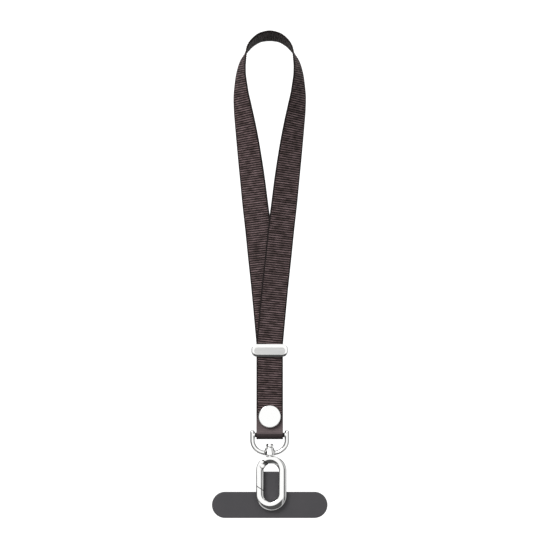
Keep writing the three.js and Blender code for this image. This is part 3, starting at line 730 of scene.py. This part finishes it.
def keeper_mesh():
    slot_front, slot_back = -STACK_FACE - GAP, STRAP_THICKNESS / 2 + GAP
    front, back = slot_front - KEEPER_WALL, slot_back + KEEPER_WALL
    bottom = KEEPER_TOP_Z - KEEPER_HEIGHT
    turns = np.linspace(0, math.pi / 2, 9)
    rows = []
    for t in turns:
        rows.append((front + KEEPER_BEVEL_DEPTH * (1 - math.cos(t)), 1 - math.sin(t), math.cos(t)))
    for t in turns[::-1]:
        share = KEEPER_BACK_SHARE * (1 - math.sin(t))
        depth = KEEPER_BEVEL_DEPTH * KEEPER_BACK_DEPTH * (1 - math.cos(t))
        rows.append((back - depth, share, share))
    rings = []
    for y, share, low_share in rows:
        outline = rectangle_path(
            -KEEPER_WIDTH / 2 + KEEPER_END_BEVEL * share,
            KEEPER_WIDTH / 2 - KEEPER_END_BEVEL * share,
            bottom + KEEPER_LOW_BEVEL * low_share,
            KEEPER_TOP_Z - KEEPER_TOP_BEVEL * share,
            KEEPER_END_RADIUS - (KEEPER_END_RADIUS - KEEPER_PANEL_RADIUS) * share,
            12,
        )
        rings.append([(x, y, z) for x, z in outline])
    half = STRAP_WIDTH / 2 + GAP
    slot = rectangle_path(-half, half, slot_front, slot_back, SLOT_RADIUS, 4)
    tool = skin("slot", [[(x, y, z) for x, y in slot] for z in (bottom - 1, KEEPER_TOP_Z + 1)])
    return cut(skin("keeper_metal", rings), tool, "DIFFERENCE")


keeper_metal = link_piece("keeper_metal", keeper_mesh(), nickel, sharp_degrees=35)
# Painted reflection: the keeper's front panel gets the brushed material, whose grey stands in for the
# grey the panel mirrors.
keeper_metal.data.materials.append(brushed_nickel_painted_reflection)
for face in keeper_metal.data.polygons:
    if face.normal.y < -0.999 and face.area > PANEL_AREA * MM * MM:
        face.material_index = 1
        print("brushed:", round(face.area / MM / MM, 1), "square mm")
mount_piece(keeper_metal, "keeper", "keeper")

# %% [markdown]
# ## Rivet
# A tubular rivet goes through the three layers. The cap that shows has an almost flat polished
# face with a round edge, and the back is a small disc with a rolled rim. The face mirrors the
# light in front of it, so it is white all over. A flattened ball would mirror more of the room.
# Both are turned shapes.

# %% Rivet
CAP_DIAMETER = 13.0
CAP_RIM = 0.6
CAP_DOME = 1.4
CAP_FACE_DOME = 0.25  # the part of it that the face takes, inside its round edge
CAP_EDGE = 0.65
RIVET_POST_DIAMETER = 3.0
RIVET_BACK_DIAMETER = 9.0
RIVET_BACK_THICKNESS = 1.8
RIVET_BACK_DISH = 0.3  # of its face, inside the rolled rim
RIVET_SOCKET = 1.1
RIVET_SIDES = 96
FIXED_GAP = 0.12


def rivet_dome_mesh():
    base = -STACK_FACE - GAP
    r, rim = CAP_DIAMETER / 2, base - CAP_RIM
    edge, low = r - CAP_EDGE, CAP_DOME - CAP_FACE_DOME
    dome = [(edge * s, rim - CAP_DOME + CAP_FACE_DOME * s**2) for s in np.linspace(0, 1, 14)]
    for t in np.linspace(0, math.pi / 2, 12)[1:]:
        dome.append((edge + CAP_EDGE * 0.97 * math.sin(t), rim - low * math.cos(t)))
    post = RIVET_POST_DIAMETER / 2
    end = STACK_FACE + RIVET_SOCKET
    profile = [(0, dome[0][1]), *dome[1:], (r, rim + 0.08), (r, base - 0.12),
               (r - 0.15, base), (post, base), (post, end), (0, end)]
    return turned("rivet_dome", profile, (0, 0, RIVET_Z), False, RIVET_SIDES)


def rivet_base_mesh():
    front = STACK_FACE + GAP
    back = front + RIVET_BACK_THICKNESS
    r, socket = RIVET_BACK_DIAMETER / 2, RIVET_POST_DIAMETER / 2 + FIXED_GAP
    hole = [(0, front + RIVET_SOCKET), (socket, front + RIVET_SOCKET), (socket, front)]
    edge = [(r - 0.2, front), (r, front + 0.2), (r, back - 0.8)]
    rolled = [(r - 0.2, back - 0.35), (r - 0.6, back - 0.05), (r - 1.1, back), (r - 1.5, back - 0.05)]
    face = [(r - 1.9, back - RIVET_BACK_DISH), (0, back - RIVET_BACK_DISH)]
    return turned("rivet_base", hole + edge + rolled + face, (0, 0, RIVET_Z), False, RIVET_SIDES)


rivet_dome = link_piece("rivet_dome", rivet_dome_mesh(), nickel)
mount_piece(rivet_dome, "rivet_cap", "strap")
rivet_base = link_piece("rivet_base", rivet_base_mesh(), nickel)
mount_piece(rivet_base, "rivet_back", "strap")

# %% [markdown]
# ## D-ring and swivel
# The D-ring is one casting: a round wire in a D, a bar across its top that the webbing folds
# round, and a cone at the bottom of the bow with a hole for the swivel's post. A curve with a
# round bevel would give the wire too, but a circle carried along lines and arcs gives a mesh
# whose ends can be rounded. The parts are joined into one skin. The bar is drawn with an edge
# at each side of the opening, and between them, in the shade of the webbing, it gets a dark
# metal that is painted shade.

# %% D-ring
RING_WIRE = 2.6
RING_INNER_WIDTH = 16.9
RING_DROP = 10.1
RING_CORNER = 7.25
RING_SHOULDER = 1.5
BOSS_HEIGHT = 4.5
BOSS_SHOULDER = 0.3  # share of its height where it starts to narrow
BOSS_ROUND = 0.4
BOSS_TOP_DIAMETER = 4.2
BOSS_DIAMETER = 7.0
SWIVEL_DIAMETER = 2.0
RUNNING_GAP = 0.2
LEG_X = (RING_INNER_WIDTH + RING_WIRE) / 2
BOW_Z = BAR_Z - RING_DROP
RING_BOTTOM_Z = BOW_Z - RING_WIRE / 2


def ring_path():
    """Points of the wire's middle with the way it faces outwards, down, round and up."""
    centre_x, centre_z = LEG_X - RING_CORNER, BOW_Z + RING_CORNER
    rows = [((-LEG_X, z), (-1, 0)) for z in np.linspace(BAR_Z + RING_SHOULDER, centre_z, 8)]
    for side, first in ((-1, 180), (1, 270)):
        for t in np.radians(np.linspace(first, first + 90, 33)):
            way = (math.cos(t), math.sin(t))
            rows.append(((side * centre_x + RING_CORNER * way[0], centre_z + RING_CORNER * way[1]), way))
    rows += [((LEG_X, z), (1, 0)) for z in np.linspace(centre_z, BAR_Z + RING_SHOULDER, 8)]
    return rows


def wire_mesh():
    """The wire with round ends."""
    turns = np.linspace(0, 2 * math.pi, 32, endpoint=False)
    r = RING_WIRE / 2
    ring = lambda x, z, way, radius: [
        (x + way[0] * radius * math.cos(t), radius * math.sin(t), z + way[1] * radius * math.cos(t))
        for t in turns
    ]
    rings = [ring(x, z, way, r) for (x, z), way in ring_path()]
    caps = []
    for t in np.linspace(0.12, math.pi / 2 * 0.94, 7):
        caps.append((BAR_Z + RING_SHOULDER + r * math.sin(t), r * math.cos(t)))
    first = [ring(-LEG_X, z, (-1, 0), radius) for z, radius in reversed(caps)]
    last = [ring(LEG_X, z, (1, 0), radius) for z, radius in caps]
    return skin("wire", first + rings + last)


def ring_mesh():
    r, inner = BAR_DIAMETER / 2, RING_INNER_WIDTH / 2
    half_bar = [(r, inner), (r, LEG_X), (0, LEG_X)]
    bar = turned("bar", [(radius, -x) for radius, x in reversed(half_bar)] + half_bar, (0, 0, 0))
    bar.transform(Matrix.Translation((0, 0, BAR_Z * MM)) @ Matrix.Rotation(math.pi / 2, 4, "Y"))
    top, half, neck = RING_BOTTOM_Z + BOSS_HEIGHT, BOSS_DIAMETER / 2, BOSS_TOP_DIAMETER / 2
    inside, shoulder = SWIVEL_DIAMETER / 2, RING_BOTTOM_Z + BOSS_HEIGHT * BOSS_SHOULDER
    corners = [(inside, RING_BOTTOM_Z), (half, RING_BOTTOM_Z), (half, shoulder), (neck, top),
               (inside, top)]
    outline = rounded(corners, BOSS_ROUND, closed=False)
    boss = turned("boss", [(0, RING_BOTTOM_Z), *outline, (0, top)], (0, 0, 0))
    bore = SWIVEL_DIAMETER / 2 + RUNNING_GAP
    low, high = RING_BOTTOM_Z - 1, top + 1
    drill = turned("drill", [(0, low), (bore, low), (bore, high), (0, high)], (0, 0, 0))
    return cut(cut(cut(wire_mesh(), bar, "UNION"), boss, "UNION"), drill, "DIFFERENCE")


ring_metal = link_piece("ring_metal", ring_mesh(), nickel)
# Painted shade: the bar between the legs, in the webbing's shade, gets the dark metal.
ring_metal.data.materials.append(painted_shade_metal)
for face in ring_metal.data.polygons:
    on_bar = abs(face.center.x) < RING_INNER_WIDTH / 2 * MM
    if on_bar and abs(face.center.z - BAR_Z * MM) < BAR_DIAMETER / 2 * MM:
        face.material_index = 1
mount_piece(ring_metal, "d_ring", "d_ring")

# %% [markdown]
# The swivel's post is a headed pin. Its head rests on the cone, its shank turns in the cone's
# hole, and its lower end is fixed in the clip. Like the rivet it is a turned shape: the small
# rounds on its corners catch the light, which a plain cylinder's edges wouldn't.

# %% Swivel post
SWIVEL_HEAD_DIAMETER = 4.2
SWIVEL_HEAD_HEIGHT = 1.8
SWIVEL_HEAD_SLOPE = 0.45  # share of its height that slopes in
SWIVEL_HEAD_TOP = 0.75  # share of its width left at the top
SWIVEL_ROUND = 0.22
SWIVEL_IN_CLIP = 2.9
CLIP_TOP_Z = RING_BOTTOM_Z - GAP


def swivel_mesh():
    under = RING_BOTTOM_Z + BOSS_HEIGHT + RUNNING_GAP
    top = under + SWIVEL_HEAD_HEIGHT
    r, shank, bottom = SWIVEL_HEAD_DIAMETER / 2, SWIVEL_DIAMETER / 2, CLIP_TOP_Z - SWIVEL_IN_CLIP
    shoulder = top - SWIVEL_HEAD_HEIGHT * SWIVEL_HEAD_SLOPE
    corners = [(shank, bottom), (shank, under), (r, under), (r, shoulder), (r * SWIVEL_HEAD_TOP, top),
               (0.2, top)]
    outline = rounded(corners, SWIVEL_ROUND, closed=False)
    return turned("swivel_metal", [(0, bottom), *outline, (0, top)], (0, 0, 0))


swivel_metal = link_piece("swivel_metal", swivel_mesh(), nickel)
mount_piece(swivel_metal, "swivel_post", "clip")

# %% [markdown]
# ## Oval clip
# The clip's wire is flat in front with wide round bevels, so the photograph shows a white band
# with grey and black lines beside it. The band sits off the wire's middle, up and to the left,
# as the photograph has it. The clip and its gate are one oval with two slanting cuts, so every
# size that both share is written once here.

# %% Sizes of the clip
CLIP_WIDTH = 17.3
CLIP_OFFSET = 0.9  # of the oval to the right of its swivel
CLIP_HEIGHT = 31.0
CLIP_SIDE_WALL = 4.35
CLIP_TOP_WALL = 4.6
CLIP_BOTTOM_WALL = 5.0
CLIP_DEPTH = 4.0
CLIP_BEVEL = 0.53  # share of the section's half width that the bevels take
CLIP_LEAN = 0.3  # how far the front band sits up and to the left, as such a share
CLIP_EDGE = 0.45  # share of the half depth where a bevel meets the side
CLIP_ROUND = 0.4  # of the section's corners, as such a share
COLLAR_DIAMETER = 3.8
HINGE_BELOW_TOP = 5.7
HINGE_FROM_SIDE = 3.5
HINGE_TO_CUT = 3.2
HINGE_SLIT = 0.6
CUT_TURN = math.radians(36)
NOSE_BELOW_TOP = 16.9
NOSE_SLIT = 0.4
NOSE_TONGUE = 1.2  # of the clip's end inside the gate's nose
NOSE_TONGUE_REACH = 1.4
GATE_SWING = math.radians(28)
PIN_DIAMETER = 2.4
LUG_THICKNESS = 1.4
LUG_DIAMETER = 4.2
CLIP_BOTTOM_Z = CLIP_TOP_Z - CLIP_HEIGHT
CLIP_LEFT_X = CLIP_OFFSET - CLIP_WIDTH / 2
HINGE = np.array([CLIP_LEFT_X + HINGE_FROM_SIDE, CLIP_TOP_Z - HINGE_BELOW_TOP])
NOSE = np.array([CLIP_LEFT_X, CLIP_TOP_Z - NOSE_BELOW_TOP])
ALONG_CUT = np.array([math.cos(CUT_TURN), -math.sin(CUT_TURN)])
UP_CUT = np.array([math.sin(CUT_TURN), math.cos(CUT_TURN)])
print("the clip hangs from", round(CLIP_TOP_Z, 2), "to", round(CLIP_BOTTOM_Z, 2), "mm")

# %% [markdown]
# A swept curve has the same section all the way, but this one leans one way on the left and the
# other way on the right. So the section is placed station by station, between a point of the
# inner outline and the point of the outer one beside it.

# %% The whole oval


def pill_path(half_width, bottom, top, arc_steps=40, straight_steps=14):
    """Once round an upright pill, from the lower right."""
    low, high = bottom + half_width, top - half_width
    arc = np.linspace(0, math.pi, arc_steps + 1)[1:-1]
    right = [(half_width, z) for z in np.linspace(low, high, straight_steps)]
    over = [(half_width * math.cos(t), high + half_width * math.sin(t)) for t in arc]
    left = [(-half_width, z) for z in np.linspace(high, low, straight_steps)]
    under = [(-half_width * math.cos(t), low - half_width * math.sin(t)) for t in arc]
    return right + over + left + under


def whole_oval():
    outer = pill_path(CLIP_WIDTH / 2, CLIP_BOTTOM_Z, CLIP_TOP_Z)
    inner = pill_path(
        CLIP_WIDTH / 2 - CLIP_SIDE_WALL, CLIP_BOTTOM_Z + CLIP_BOTTOM_WALL, CLIP_TOP_Z - CLIP_TOP_WALL
    )
    flat = 1 - CLIP_BEVEL
    outer_side = [(flat, 1), (1, CLIP_EDGE), (1, -CLIP_EDGE), (flat, -1)]
    octagon = outer_side + [(-s, -depth) for s, depth in outer_side]
    profile = rounded(octagon, CLIP_ROUND, steps=7)
    rings = []
    for (ix, iz), (ox, oz) in zip(inner, outer):
        towards_low_right = (ox - ix - oz + iz) / math.hypot(ox - ix, oz - iz) / math.sqrt(2)
        ring = []
        for s, depth in profile:
            front = max(-depth - CLIP_EDGE, 0) / (1 - CLIP_EDGE)
            share = (s + 1 - 2 * CLIP_LEAN * front * towards_low_right) / 2
            x, z = ix + (ox - ix) * share, iz + (oz - iz) * share
            ring.append((CLIP_OFFSET + x, depth * CLIP_DEPTH / 2, z))
        rings.append(ring)
    return skin("oval", rings, round_trip=True)


# %% [markdown]
# The gate's stretch is cut out of the oval by two slanting cuts. The gate is two cheeks astride
# a lug of the clip, with a pin through all three, and a tongue of the clip's other end keeps
# the closed gate in line. Modelling the two apart would leave edges that don't quite meet, so
# both come out of the same oval, with the clearance drawn back from each cut.

# %% What the gate takes, the lug and the tongue


def gate_outline(hinge_back, nose_back, swings):
    """What the gate takes of the oval, drawn back from both cuts by a clearance."""
    past = CLIP_WIDTH / 2
    hinge = HINGE + UP_CUT * (HINGE_TO_CUT - hinge_back)
    nose = NOSE + UP_CUT * nose_back
    points = [hinge - ALONG_CUT * past, nose - ALONG_CUT * past / 2, nose + ALONG_CUT * past]
    if not swings:
        return [*points, hinge + ALONG_CUT * past]
    clear = HINGE_TO_CUT - GAP / 3
    for i, back in enumerate(np.linspace(GATE_SWING, 0, 9)):
        turn = math.pi / 2 - CUT_TURN - back
        edge = np.array([math.cos(turn), math.sin(turn)])
        corner = HINGE + edge * min(clear, (HINGE_TO_CUT - hinge_back) / edge.dot(UP_CUT))
        if i == 0:
            points.append(corner + np.array([edge[1], -edge[0]]) * past / 2)
        points.append(corner)
    return points


def across_rod(name, diameter, front, back, x, z, sides=64):
    r = diameter / 2
    outline = [(0, front), (r, front), (r, back), (0, back)]
    return turned(name, outline, (x, 0, z), upright=False, sides=sides)


def lug_mesh(diameter, thickness):
    """The round lug at the pin, with the neck that joins it to the clip's end."""
    round_end = [HINGE + diameter / 2 * (ALONG_CUT * math.cos(t) + UP_CUT * math.sin(t))
                 for t in np.linspace(math.pi, 2 * math.pi, 33)]
    top = HINGE + UP_CUT * 2 * HINGE_TO_CUT
    side = ALONG_CUT * CLIP_WIDTH / 2
    outline = [*round_end, top + ALONG_CUT * diameter / 2, top - side, HINGE - side]
    return prism("lug", outline, -thickness / 2, thickness / 2)


def nose_tongue(thickness, reach):
    """The tongue of the clip's lower end that keeps the closed gate in line."""
    side = ALONG_CUT * CLIP_WIDTH / 2
    outline = [NOSE - side - UP_CUT * reach, NOSE + side - UP_CUT * reach,
               NOSE + side + UP_CUT * reach, NOSE - side + UP_CUT * reach]
    return prism("tongue", outline, -thickness / 2, thickness / 2)


# %% [markdown]
# The clip and its gate are now short lists of cuts, and the pin is a turned shape. The faces
# in the slits take the dark metal, a painted shade, so the two slits show as the two dark
# lines.

# %% Clip, gate and pin
COLLAR_HEIGHT = 1.2


def clip_mesh():
    reach = CLIP_DEPTH
    oval = whole_oval()
    lug = cut(oval.copy(), lug_mesh(LUG_DIAMETER, LUG_THICKNESS), "INTERSECT")
    tongue = cut(oval.copy(), nose_tongue(NOSE_TONGUE, NOSE_TONGUE_REACH), "INTERSECT")
    body = cut(oval, prism("gap", gate_outline(0, 0, False), -reach, reach), "DIFFERENCE")
    body = cut(cut(body, lug, "UNION"), tongue, "UNION")
    r, under = COLLAR_DIAMETER / 2, CLIP_TOP_Z - COLLAR_HEIGHT
    collar = turned("collar", [(0, under), (r, under), (r, CLIP_TOP_Z), (0, CLIP_TOP_Z)], (0, 0, 0))
    body = cut(body, collar, "UNION")
    swivel = SWIVEL_DIAMETER / 2 + FIXED_GAP
    low, high = CLIP_TOP_Z - SWIVEL_IN_CLIP - GAP, CLIP_TOP_Z + 1
    bore = turned("bore", [(0, low), (swivel, low), (swivel, high), (0, high)], (0, 0, 0))
    body = cut(body, bore, "DIFFERENCE")
    pin_hole = across_rod("hole", PIN_DIAMETER + 2 * FIXED_GAP, -reach, reach, *HINGE)
    return cut(body, pin_hole, "DIFFERENCE")


def gate_mesh():
    reach = CLIP_DEPTH
    region = prism("region", gate_outline(HINGE_SLIT, NOSE_SLIT, True), -reach, reach)
    gate = cut(whole_oval(), region, "INTERSECT")
    gate = cut(gate, lug_mesh(LUG_DIAMETER + 2 * GAP, LUG_THICKNESS + 2 * GAP), "DIFFERENCE")
    gate = cut(gate, nose_tongue(NOSE_TONGUE + 2 * GAP, NOSE_TONGUE_REACH + GAP), "DIFFERENCE")
    pin_hole = across_rod("hole", PIN_DIAMETER + 2 * RUNNING_GAP, -reach, reach, *HINGE)
    return cut(gate, pin_hole, "DIFFERENCE")


def pin_mesh():
    front, back, r = -CLIP_DEPTH / 2, CLIP_DEPTH / 2, PIN_DIAMETER / 2
    outline = rounded([(0.1, front), (r, front), (r, back), (0.1, back)], 0.3, closed=False)
    return turned("hinge_pin", [(0, front), *outline, (0, back)], (HINGE[0], 0, HINGE[1]), upright=False)


def darken_slits(piece):
    """Gives the faces in the two slits the dark metal, a painted shade."""
    piece.data.materials.append(painted_shade_metal)
    slits = 0
    for face in piece.data.polygons:
        across_slit = abs(face.normal.x * UP_CUT[0] + face.normal.z * UP_CUT[1]) > 0.995
        inside = abs(face.normal.y) > 0.99 and abs(face.center.y) < 0.6 * LUG_THICKNESS * MM + GAP * MM
        if (across_slit or inside) and face.center.x < 0.1 * MM:
            face.material_index = 1
            slits += 1
    print(piece.name, slits, "painted shade faces")


clip_metal = link_piece("clip_metal", clip_mesh(), nickel, sharp_degrees=30)
darken_slits(clip_metal)
mount_piece(clip_metal, "clip_body", "clip")
gate_metal = link_piece("gate_metal", gate_mesh(), nickel, sharp_degrees=30)
darken_slits(gate_metal)
mount_piece(gate_metal, "gate", "gate")
hinge_pin = link_piece("hinge_pin", pin_mesh(), nickel)
mount_piece(hinge_pin, "gate_pin", "clip")

# %% [markdown]
# ## Tab
# The tab is punched from a sheet of soft plastic about a millimetre thick: a long pad with
# round ends that lies between phone and case, and a tongue that comes out of the case. Its
# edge is softly broken all round. A plane with a solidify and a bevel modifier would do. Here
# the outline carries its own way out at each point, so it can be drawn in evenly for the edge.

# %% Shape of the tab
PAD_WIDTH = 65.6
PAD_HEIGHT = 14.9
PAD_BELOW_CLIP = 4.7
TAB_THICKNESS = 1.0
TONGUE_WIDTH = 12.0
TONGUE_RISE = 11.5
TONGUE_CORNER = 1.5
TONGUE_FILLET = 2.0
TAB_RIM = 0.45
TAB_FRONT_Y = CLIP_DEPTH / 2 + GAP
TAB_BACK_Y = TAB_FRONT_Y + TAB_THICKNESS
PAD_BOTTOM_Z = CLIP_BOTTOM_Z - PAD_BELOW_CLIP
TAB_PIN_DIAMETER = 2.2
TAB_PIN_IN_CLIP = 2.2
TAB_PIN_HEAD_DIAMETER = 5.0
TAB_PIN_HEAD = 0.8
TAB_PIN_Z = CLIP_BOTTOM_Z + CLIP_BOTTOM_WALL / 2
print("the pad reaches down to", round(PAD_BOTTOM_Z, 2), "mm")


def arc(centre, radius, first, last, steps, hollow=False):
    """Points of an arc with the way out of the tab at each."""
    rows = []
    for t in np.radians(np.linspace(first, last, steps + 1)):
        way = np.array([math.cos(t), math.sin(t)])
        rows.append((np.array(centre) + radius * way, -way if hollow else way))
    return rows


def tab_outline():
    """Once round the tab, from the lower left, as places and ways out."""
    pad_top = PAD_BOTTOM_Z + PAD_HEIGHT
    top = pad_top + TONGUE_RISE
    r = PAD_HEIGHT / 2
    x, z = PAD_WIDTH / 2 - r, PAD_BOTTOM_Z + r
    side, c, f = TONGUE_WIDTH / 2, TONGUE_CORNER, TONGUE_FILLET
    return (
        arc((x, z), r, -90, 90, 36)
        + arc((side + f, pad_top + f), f, 270, 180, 10, hollow=True)
        + arc((side - c, top - c), c, 0, 90, 10)
        + arc((c - side, top - c), c, 90, 180, 10)
        + arc((-side - f, pad_top + f), f, 0, -90, 10, hollow=True)
        + arc((-x, z), r, 90, 270, 36)
    )


def tab_mesh():
    turns = np.linspace(0, math.pi / 2, 6)
    rim = [(TAB_RIM * (1 - math.sin(t)), TAB_RIM * (1 - math.cos(t))) for t in turns]
    rows = [(inset, TAB_FRONT_Y + depth) for inset, depth in rim]
    rows += [(inset, TAB_BACK_Y - depth) for inset, depth in reversed(rim)]
    rings = []
    for inset, y in rows:
        drawn_in = [p - way * inset for p, way in tab_outline()]
        rings.append([(x, y, z) for x, z in drawn_in])
    sheet = skin("tab_sheet", rings)
    width = TAB_PIN_DIAMETER + 2 * FIXED_GAP
    hole = across_rod("hole", width, TAB_FRONT_Y - 1, TAB_BACK_Y + 1, 0, TAB_PIN_Z)
    return cut(sheet, hole, "DIFFERENCE")


def tab_pin_mesh():
    head, end = TAB_BACK_Y + GAP, CLIP_DEPTH / 2 - TAB_PIN_IN_CLIP
    r, wide, back = TAB_PIN_DIAMETER / 2, TAB_PIN_HEAD_DIAMETER / 2, head + TAB_PIN_HEAD
    corners = [(0.1, end), (r, end), (r, head), (wide, head), (wide, head + 0.35), (wide * 0.6, back),
               (0.1, back)]
    outline = rounded(corners, 0.2, closed=False)
    return turned("tab_rivet", [(0, end), *outline, (0, back)], (0, 0, TAB_PIN_Z), upright=False)


# %% [markdown]
# Soft vinyl is matt and evenly grey, with a fine grain from the roller it was pressed with. The
# grain is a bump, because it is far finer than the mesh, and the grey changes very slightly.

# %% Tab material and pieces
TAB_COLOUR = "#3b3a3d"
TAB_CLOUD_COLOUR = "#3f3d40"
TAB_CLOUDS = 90.0  # to the metre
TAB_GRAIN = 0.35  # mm, drawn about twice as coarse as the real matt grain


def tab_material():
    made = new_material("matt soft vinyl")
    t = made.node_tree
    place = add_node(t, "ShaderNodeTexCoord")
    grain = add_node(t, "ShaderNodeTexNoise", {
        "Vector": place.outputs["Object"], "Scale": 1 / (TAB_GRAIN * MM), "Detail": 2.0,
    })
    cloud = add_node(t, "ShaderNodeTexNoise",
                     {"Vector": place.outputs["Object"], "Scale": TAB_CLOUDS})
    tint = add_node(t, "ShaderNodeMapRange", {0: cloud.outputs[0], 1: 0.3, 2: 0.7})
    colour = mix_colours(t, tint.outputs[0], TAB_COLOUR, TAB_CLOUD_COLOUR)
    bump = add_node(t, "ShaderNodeBump",
                    {"Height": grain.outputs[0], "Strength": 0.25, "Distance": 0.03 * MM})
    shader = add_node(t, "ShaderNodeBsdfPrincipled", {
        "Base Color": colour, "Roughness": 0.5, "IOR": 1.5, "Specular IOR Level": 0.35,
        "Normal": bump.outputs[0],
    })
    return finish_material(made, shader)


vinyl = tab_material()
tab_sheet = link_piece("tab_sheet", tab_mesh(), vinyl, sharp_degrees=50)
mount_piece(tab_sheet, "tether_tab", "clip")
tab_rivet = link_piece("tab_rivet", tab_pin_mesh(), nickel)
mount_piece(tab_rivet, "tab_pin", "clip")

# %% [markdown]
# ## Studio
# The photograph was taken in a white studio. A wide pale bowl stands for its floor and walls.
# It glows most behind the strap, so the picture's ground is white, and less on the other sides.
# A world colour alone would be simpler, but then polished metal has nothing to mirror.

# %% Bowl
FLOOR_Z = -1.5  # m
BOWL_RADIUS = 3.2
BOWL_CURVE = 1.2
BOWL_TOP = 3.0
GLOW_PLACES = (-1.0, 1.8)  # m to the back, between which its glow grows
GLOW_STRENGTHS = (0.25, 0.88)


def plain_material(name, colour, glow=0.0):
    made = new_material(name)
    shader = add_node(made.node_tree, "ShaderNodeBsdfPrincipled", {
        "Base Color": linear(colour), "Roughness": 0.9,
        "Emission Color": linear("#ffffff"), "Emission Strength": glow,
    })
    return finish_material(made, shader)


def bowl_material():
    """White paper, lit most behind the strap and least behind the camera."""
    made = new_material("white paper")
    t = made.node_tree
    place = add_node(t, "ShaderNodeTexCoord")
    parts = add_node(t, "ShaderNodeSeparateXYZ", {0: place.outputs["Object"]})
    back = add_node(t, "ShaderNodeMapRange",
                    {0: parts.outputs[1], **dict(enumerate(GLOW_PLACES + GLOW_STRENGTHS, 1))})
    shader = add_node(t, "ShaderNodeBsdfPrincipled", {
        "Base Color": linear("#9c9c9c"), "Roughness": 0.9,
        "Emission Color": linear("#ffffff"), "Emission Strength": back.outputs[0],
    })
    return finish_material(made, shader)


def bowl():
    turns = np.linspace(0, math.pi / 2, 13)
    flat = BOWL_RADIUS - BOWL_CURVE
    rim = [(flat + BOWL_CURVE * math.sin(t), BOWL_CURVE * (1 - math.cos(t))) for t in turns]
    profile = [(0, 0), *rim, (BOWL_RADIUS, BOWL_TOP)]
    mesh = turned("bowl", [(r / MM, h / MM) for r, h in profile], (0, 0, FLOOR_Z / MM))
    mesh.flip_normals()
    piece = link_piece("bowl", mesh, bowl_material())


bowl()

# %% [markdown]
# Large soft lights shape the cloth. Polished metal shows what stands round it: a glowing card
# behind the camera makes its faces white, and black and grey cards beside and below the strap,
# as a photographer places them, draw the dark lines along its bevels. The camera doesn't see
# them, they throw no shadow, and most are hidden from the cloth.

# %% Lights and cards
STRAP_MIDDLE = Vector((0, 0, -0.2))


def card(name, middle, width, height, glow, seen_by_cloth=True, seen_by_metal=True):
    """A flat card that faces the strap, black or glowing. The cloth isn't lit or darkened by a
    card that it doesn't see, and the metal doesn't mirror one."""
    middle = Vector(middle)
    turn = (STRAP_MIDDLE - middle).to_track_quat("Z", "Y").to_matrix()
    side, up = turn.col[0] * width / 2, turn.col[1] * height / 2
    mesh = bpy.data.meshes.new(name)
    low, high = middle - up, middle + up
    mesh.from_pydata([low - side, low + side, high + side, high - side], [], [(0, 1, 2, 3)])
    piece = link_piece(name, mesh, plain_material(name + " card", "#050505", glow))
    piece.visible_camera = False
    piece.visible_shadow = False
    piece.visible_diffuse = seen_by_cloth
    piece.visible_glossy = seen_by_metal


def soft_light(name, place, size, power):
    data = bpy.data.lights.new(name, "AREA")
    data.shape, data.size, data.energy = "SQUARE", size, power
    light = bpy.data.objects.new(name, data)
    light.location = place
    light.rotation_euler = (STRAP_MIDDLE - Vector(place)).to_track_quat("-Z", "Y").to_euler()
    bpy.context.scene.collection.objects.link(light)


soft_light("key", (-0.5, -0.9, 0.45), 0.5, 11)
soft_light("top", (0.2, -0.2, 1.2), 0.6, 3)
card("front_light", (0.0, -1.2, 0.05), 2.3, 1.9, 1.28, False)
card("high_light", (0.0, -0.3, 0.9), 1.6, 0.9, 1.3, False)
card("left_dark", (-0.95, -0.2, -0.2), 0.8, 1.8, 0.05, False)
card("right_line", (0.88, -0.64, -0.2), 0.13, 1.8, 0.0, False)
card("right_grey", (0.95, -0.15, -0.2), 0.75, 1.8, 0.68, False)
card("left_black", (-0.6, 0.65, -0.2), 0.75, 1.8, 0.0, False)
card("right_black", (0.75, 0.5, -0.2), 0.7, 1.8, 0.0, False)
card("low_dark", (0.0, -0.68, -0.96), 1.3, 0.8, 0.08)
card("under_black", (0.0, 0.0, -0.6), 2.4, 1.6, 0.0, True, False)

world = bpy.data.worlds.new("studio")
world.use_nodes = True
world.node_tree.nodes["Background"].inputs["Color"].default_value = linear("#ffffff")
world.node_tree.nodes["Background"].inputs["Strength"].default_value = 0.9
bpy.context.scene.world = world
bpy.context.scene.view_settings.view_transform = "Standard"
print("studio: bowl, two soft lights, nine cards")
